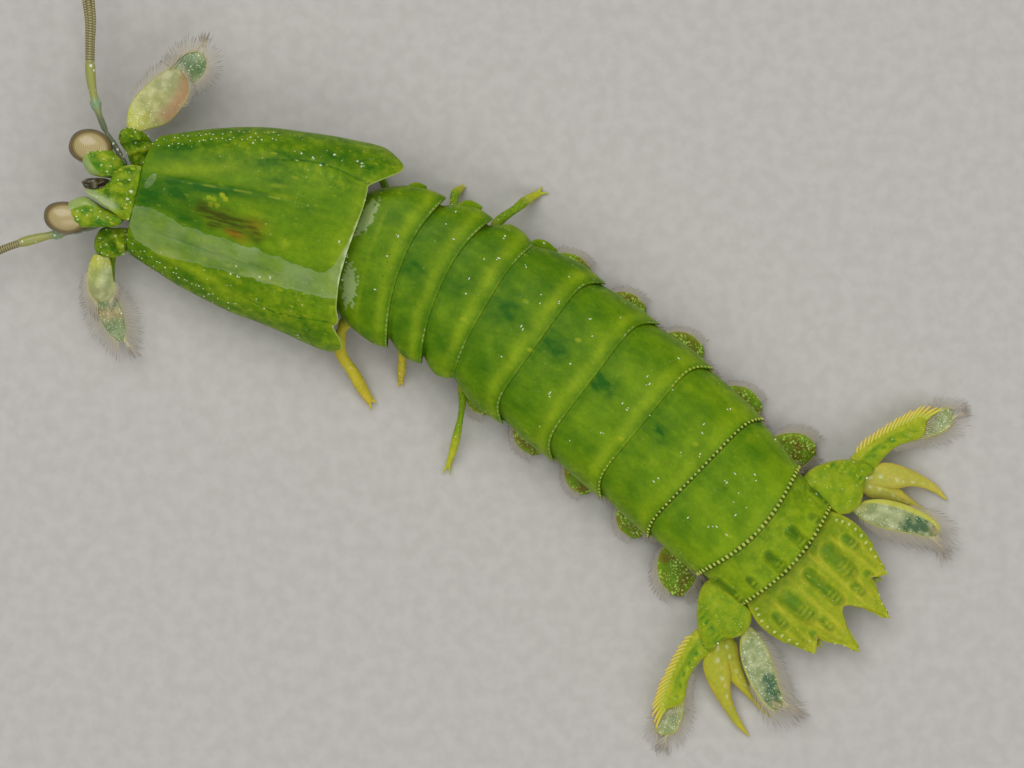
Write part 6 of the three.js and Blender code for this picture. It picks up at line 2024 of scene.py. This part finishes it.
FLAP_PATH = [(0, 3.2, 2.5), (0.7, 4.4, 2), (2, 6, 1.3), (3.2, 6.9, 0.8)]
FLAP_SPREAD = np.array([0, 0.2, 0.6, 1])


def plain_limb(surface, skin, node, extra=None):
    """A pale limb in place of its solid, with a second surface where there is one."""
    piece = Form(0).add(surface)
    if extra is not None:
        piece.add(extra)
    piece.build(skin, PALE, [node])


def claw(name, side):
    """Folded claw of one side: upper arm, hand, and a finger with six teeth inwards."""
    arm = on_side(CLAW_UPPER_ARM, side) + [0, 0.5 if side < 0 else 0, 0]
    surface = limb(arm, CLAW_UPPER_ARM_GIRTHS, rows=60, around=36, squareness=2.4)[0]
    plain_limb(surface, "upper_arm_skin_" + name, "claw_upper_arm_" + name)
    surface = limb(on_side(CLAW_HAND, side), CLAW_HAND_GIRTHS, rows=80, around=36, squareness=2.3)[0]
    plain_limb(surface, "hand_skin_" + name, "claw_hand_" + name)
    finger = on_side(CLAW_FINGER, side)
    inward = np.array([0, side, 0.0])
    middle, onward = centreline(finger, np.linspace(0.25, 0.85, 6))
    teeth = cones(middle + inward * 0.2, onward * 0.25 + inward * 0.4, 0.14, taper=0.8)[0]
    surface = limb(finger, CLAW_FINGER_GIRTHS, rows=60, around=24)[0]
    plain_limb(surface, "finger_skin_" + name, "claw_finger_" + name, teeth)


def feeding_limbs(name, side):
    """Three small folded limbs of one side, each a pitch behind the one before."""
    for i in range(FEEDING_LIMBS):
        path = on_side(FEEDING_PATH, side) + [FEEDING_START + FEEDING_PITCH * i, 0, 0]
        surface = limb(path, FEEDING_GIRTHS, rows=44, around=24)[0]
        plain_limb(surface, f"feeding_limb_skin_{name}_{i + 1}", f"feeding_limb_{name}_{i + 1}")


def walking_leg(which):
    """Walking leg: grainy green with yellow joints, or golden where it is stout, ending in two
    claws and a few short spines."""
    path, stout = LEGS[which], LEG_STOUTNESS.get(which, 1.0)
    girths = [(at, wide * stout, high * stout) for at, wide, high in LEG_GIRTHS]
    surface, along, x = limb(path, girths, rows=70, around=22)
    yellow = step(along, 0.68, 0.88) + 0.8 * (1 - step(along, 0.3, 0.46)) if stout == 1 else 0.5 + 0.5 * along
    grains = step(np.sin(along * 90) * np.cos(x * 6 + along * 40), 0.2, 0.8) * (1 - yellow)
    masks = dict(warm=0.3 + 0.5 * yellow, glow=0.9 * yellow, shade=0.9 * grains)
    piece = Form(0).add(surface, freckle=1.0, pore=1.0, dash=1.0, **masks)
    ends, tangents = centreline(path, np.array([0.98, 0.99]))
    ahead = tangents[0] * [1, 1, 0.1]
    aside = np.cross([0, 0, 1], ahead)
    claws = np.array([ahead * 0.95 + aside * 0.42, ahead * 0.95 - aside * 0.42])
    piece.add(cones(ends, claws, 0.14 * stout, around=10, rows=6, taper=0.7)[0], glow=1.0, warm=1.0)
    roots, tangents = centreline(path, np.linspace(0.8, 0.97, 6))
    aside = np.cross([0, 0, 1], tangents) * np.where(np.arange(6) % 2, 1, -1)[:, None]
    reaches = (tangents * 0.45 + aside * 0.42) * stout
    piece.add(cones(roots, reaches, 0.05 * stout, around=6, rows=5, taper=0.8)[0], glow=1.0, warm=1.0)
    piece.build("leg_skin_" + which, PRONG if stout > 1 else TAIL, ["leg_" + which])


def flaps(name, side, bristles):
    """Five swimming flaps of one side, each a thin oval blade below its ring, with a short fringe."""
    for i, (ring, reach) in enumerate(zip(RINGS[3:], FLAP_REACH[name])):
        path = np.array(FLAP_PATH)
        path[:, 1] += reach * FLAP_SPREAD
        path[:, 0] += ring["rear"] - path[-1, 0]
        path = on_side(path, side)
        surface, _, x = limb(path, FLAP_GIRTHS, rows=40, around=32)
        piece = Form(0).add(surface, glow=0.5 * np.abs(x) ** 4)
        piece.build(f"flap_skin_{name}_{i + 1}", GRANULAR, [f"swimming_flap_{name}_{i + 1}"])
        long = 1.3 if i == 4 else 0.9
        lengths = [(0, 0.5), (0.6, long), (1, long)]
        for edge, row in ((1, 0), (-1, 5)):
            rim = limb_rim(path, FLAP_GIRTHS, edge)
            fringe(bristles, row + i, rim, (0.35, 0.98), 38, lengths, (20, 72), width=0.045)


# Studs and tufts

TUFT_HAIRS = 34
STUD_ROWS = ((-1, 0.35), (-1, 0.8), (1, 0.5), (1, 1))
TELSON_PEARLS = [
    (61.3, 4.85), (61.75, 5.1), (62.3, 5.28), (62.95, 5.33), (63.65, 5.25), (64.3, 5.12), (64.95, 4.95),
    (65.65, 4.75),
    (66.4, 4.7), (67.1, 4.6), (68.6, 2.35), (69.2, 2.2), (67.9, 2.75),
]


def pale_studs_and_glints():
    """White studs: painted glints at the measured sparkles, often as a pair, the flecks of the carapace
    with painted glints on its rear margin, and rows of cream dots along its front margins."""
    places, sizes = [], []
    for s, y in SPARKLES + CARAPACE_FLECKS_AND_GLINTS:
        long, thin = random.uniform(0.045, 0.11), random.uniform(0.03, 0.045)
        places.append((s, y))
        sizes.append((long, thin, 0.03) if random.uniform() < 0.4 else (thin, long, 0.03))
        if random.uniform() < 0.4:
            places.append((s + random.uniform(-0.2, 0.2), y + random.uniform(-0.22, 0.22)))
            sizes.append((random.uniform(0.03, 0.06), 0.035, 0.025))
    for s in np.arange(-0.1, 9.5, 0.33):
        for side, inset in STUD_ROWS:
            if random.uniform() < 0.62:
                y = side * (float(smooth(CARAPACE_HALF_WIDTH, s)) - inset) + 0.35
                places.append((s + random.uniform(-0.12, 0.12), y + random.uniform(-0.12, 0.12)))
                sizes.append((random.uniform(0.03, 0.075), random.uniform(0.025, 0.045), 0.025))
    Form().add(studs(places, 1.25 * np.array(sizes))).build("pale_studs_and_glints", STUD_AND_GLINT)


def telson_pearls():
    """Pale yellow-green pearls along the telson's sides and teeth, drawn out sideways."""
    places = [(s, side * (y - 0.1)) for s, y in TELSON_PEARLS for side in SIDES.values()]
    sizes = [(0.15, 0.2, 0.07) if s < 66 else (0.1, 0.12, 0.05) for s, _ in places]
    Form().add(studs(places, np.array(sizes)), warm=1.0, glow=0.7, bead=0.3).build("telson_pearls", TAIL)


def corner_tufts(side, bristles):
    """Tufts of short hairs under the rear corners of the second to fifth ring of the abdomen."""
    order = (np.arange(TUFT_HAIRS) + 0.5) / TUFT_HAIRS
    level = 0 * order
    for k in range(4, 8):
        ring = RINGS[k]
        rear = float(ring_rear(ring, np.array(1.0)))
        out, height = ring["widths"][1] - 0.35, ring["heights"][1] - 0.5
        roots = np.stack([rear - 1.0 + 1.1 * order, side * (out + level), height + level], -1)
        turn = np.radians(lerp(35, 70, order) + random.uniform(-9, 9, TUFT_HAIRS))
        length = random.uniform(0.8, 1.25, TUFT_HAIRS) * (0.7 + 0.1 * (k - 4))
        lift = random.uniform(-0.25, 0.05, TUFT_HAIRS)
        reaches = np.stack([np.sin(turn) * length, side * np.cos(turn) * length, lift], -1)
        surface, along = cones(roots, reaches, 0.035, around=3, taper=0.75)
        bristles.add(surface, along=along, uv=bristle_uv(order, 6 + k, along))


# The whole animal

carapace()
rings()
telson()
telson_denticles()
telson_pearls()
pale_studs_and_glints()
head()
for side_name, side_sign in SIDES.items():
    tail_setae, scale_setae, flap_setae = Form(0), Form(HEAD_LIMB_LEAN), Form(0)
    tail_limbs(side_name, side_sign, tail_setae)
    eye_stalk(side_name, EYES[side_name])
    cornea(side_name, side_sign, EYES[side_name])
    antennule(side_name, ANTENNULES[side_name])
    antenna(side_name, ANTENNAE[side_name])
    antennal_scale(side_name, ANTENNAE[side_name], scale_setae)
    claw(side_name, side_sign)
    feeding_limbs(side_name, side_sign)
    for number in (1, 2, 3):
        walking_leg(f"{side_name}_{number}")
    flaps(side_name, side_sign, flap_setae)
    corner_tufts(side_sign, flap_setae)
    tail_setae.build("tail_setae_" + side_name, BRISTLE)
    scale_setae.build("scale_setae_" + side_name, BRISTLE)
    flap_setae.build("flap_setae_" + side_name, BRISTLE, slot="yellow_green_shell")

# Floor, light and camera

LOOK_AT = (0.00686, -0.00384, 0.004)
CAMERA_DISTANCE = 0.996
FRAME_WIDTH = 0.08192
FLOOR_CORNERS = [(-1, -1, 0), (1, -1, 0), (1, 1, 0), (-1, 1, 0)]
LIGHT_DISTANCE = 0.6
LIGHTS = {
    "window": (120, 62, 0.5, 1.9),
    "fill": (-40, 45, 0.5, 0.8),
    "film_light": (262, 52, 0.3, 0.35),
}
ROOM_LIGHT = 0.24
SENSOR_WIDTH = 36


def make_table(nodes):
    """Pale grey table with a fine grain."""
    place = nodes.add("ShaderNodeTexCoord").outputs["Object"]
    return {"Base Color": nodes.clouded(place, 900.0, 0.3, 0.7, TABLE_DARK, TABLE_LIGHT, 3)}


def floor():
    """Square sheet of floor of two metres at the height of the table."""
    mesh = bpy.data.meshes.new("floor")
    mesh.from_pydata(FLOOR_CORNERS, [], [(0, 1, 2, 3)])
    mesh.materials.append(material("pale_table", make_table, {"Roughness": 0.75}))
    sheet = bpy.data.objects.new("floor", mesh)
    bpy.context.scene.collection.objects.link(sheet)


def soft_light(name, azimuth, elevation, size, power):
    """Square area light on a dome round the animal, facing it, by its degrees round and up."""
    data = bpy.data.lights.new(name, "AREA")
    data.size, data.energy = size, power
    light = bpy.data.objects.new(name, data)
    a, e = math.radians(azimuth), math.radians(elevation)
    away = np.array([math.cos(e) * math.cos(a), math.cos(e) * math.sin(a), math.sin(e)])
    light.location = np.array(LOOK_AT) + away * LIGHT_DISTANCE
    light.rotation_euler = (math.pi / 2 - e, 0, a + math.pi / 2)
    bpy.context.scene.collection.objects.link(light)


def room():
    """Even light from all round."""
    world = bpy.data.worlds.new("room")
    world.use_nodes = True
    colour, strength = world.node_tree.nodes["Background"].inputs[:2]
    colour.default_value, strength.default_value = (1, 1, 1, 1), ROOM_LIGHT
    bpy.context.scene.world = world


def camera():
    """Camera straight above the middle of the photo, with its field of view."""
    data = bpy.data.cameras.new("camera")
    data.sensor_width = SENSOR_WIDTH
    data.lens = SENSOR_WIDTH * CAMERA_DISTANCE / FRAME_WIDTH
    data.clip_start, data.clip_end = 0.01, 10
    viewer = bpy.data.objects.new("camera", data)
    viewer.location = (LOOK_AT[0], LOOK_AT[1], LOOK_AT[2] + CAMERA_DISTANCE)
    bpy.context.scene.collection.objects.link(viewer)
    bpy.context.scene.camera = viewer
    bpy.context.scene.view_settings.view_transform = "Standard"


floor()
for light_name, light_facts in LIGHTS.items():
    soft_light(light_name, *light_facts)
room()
camera()
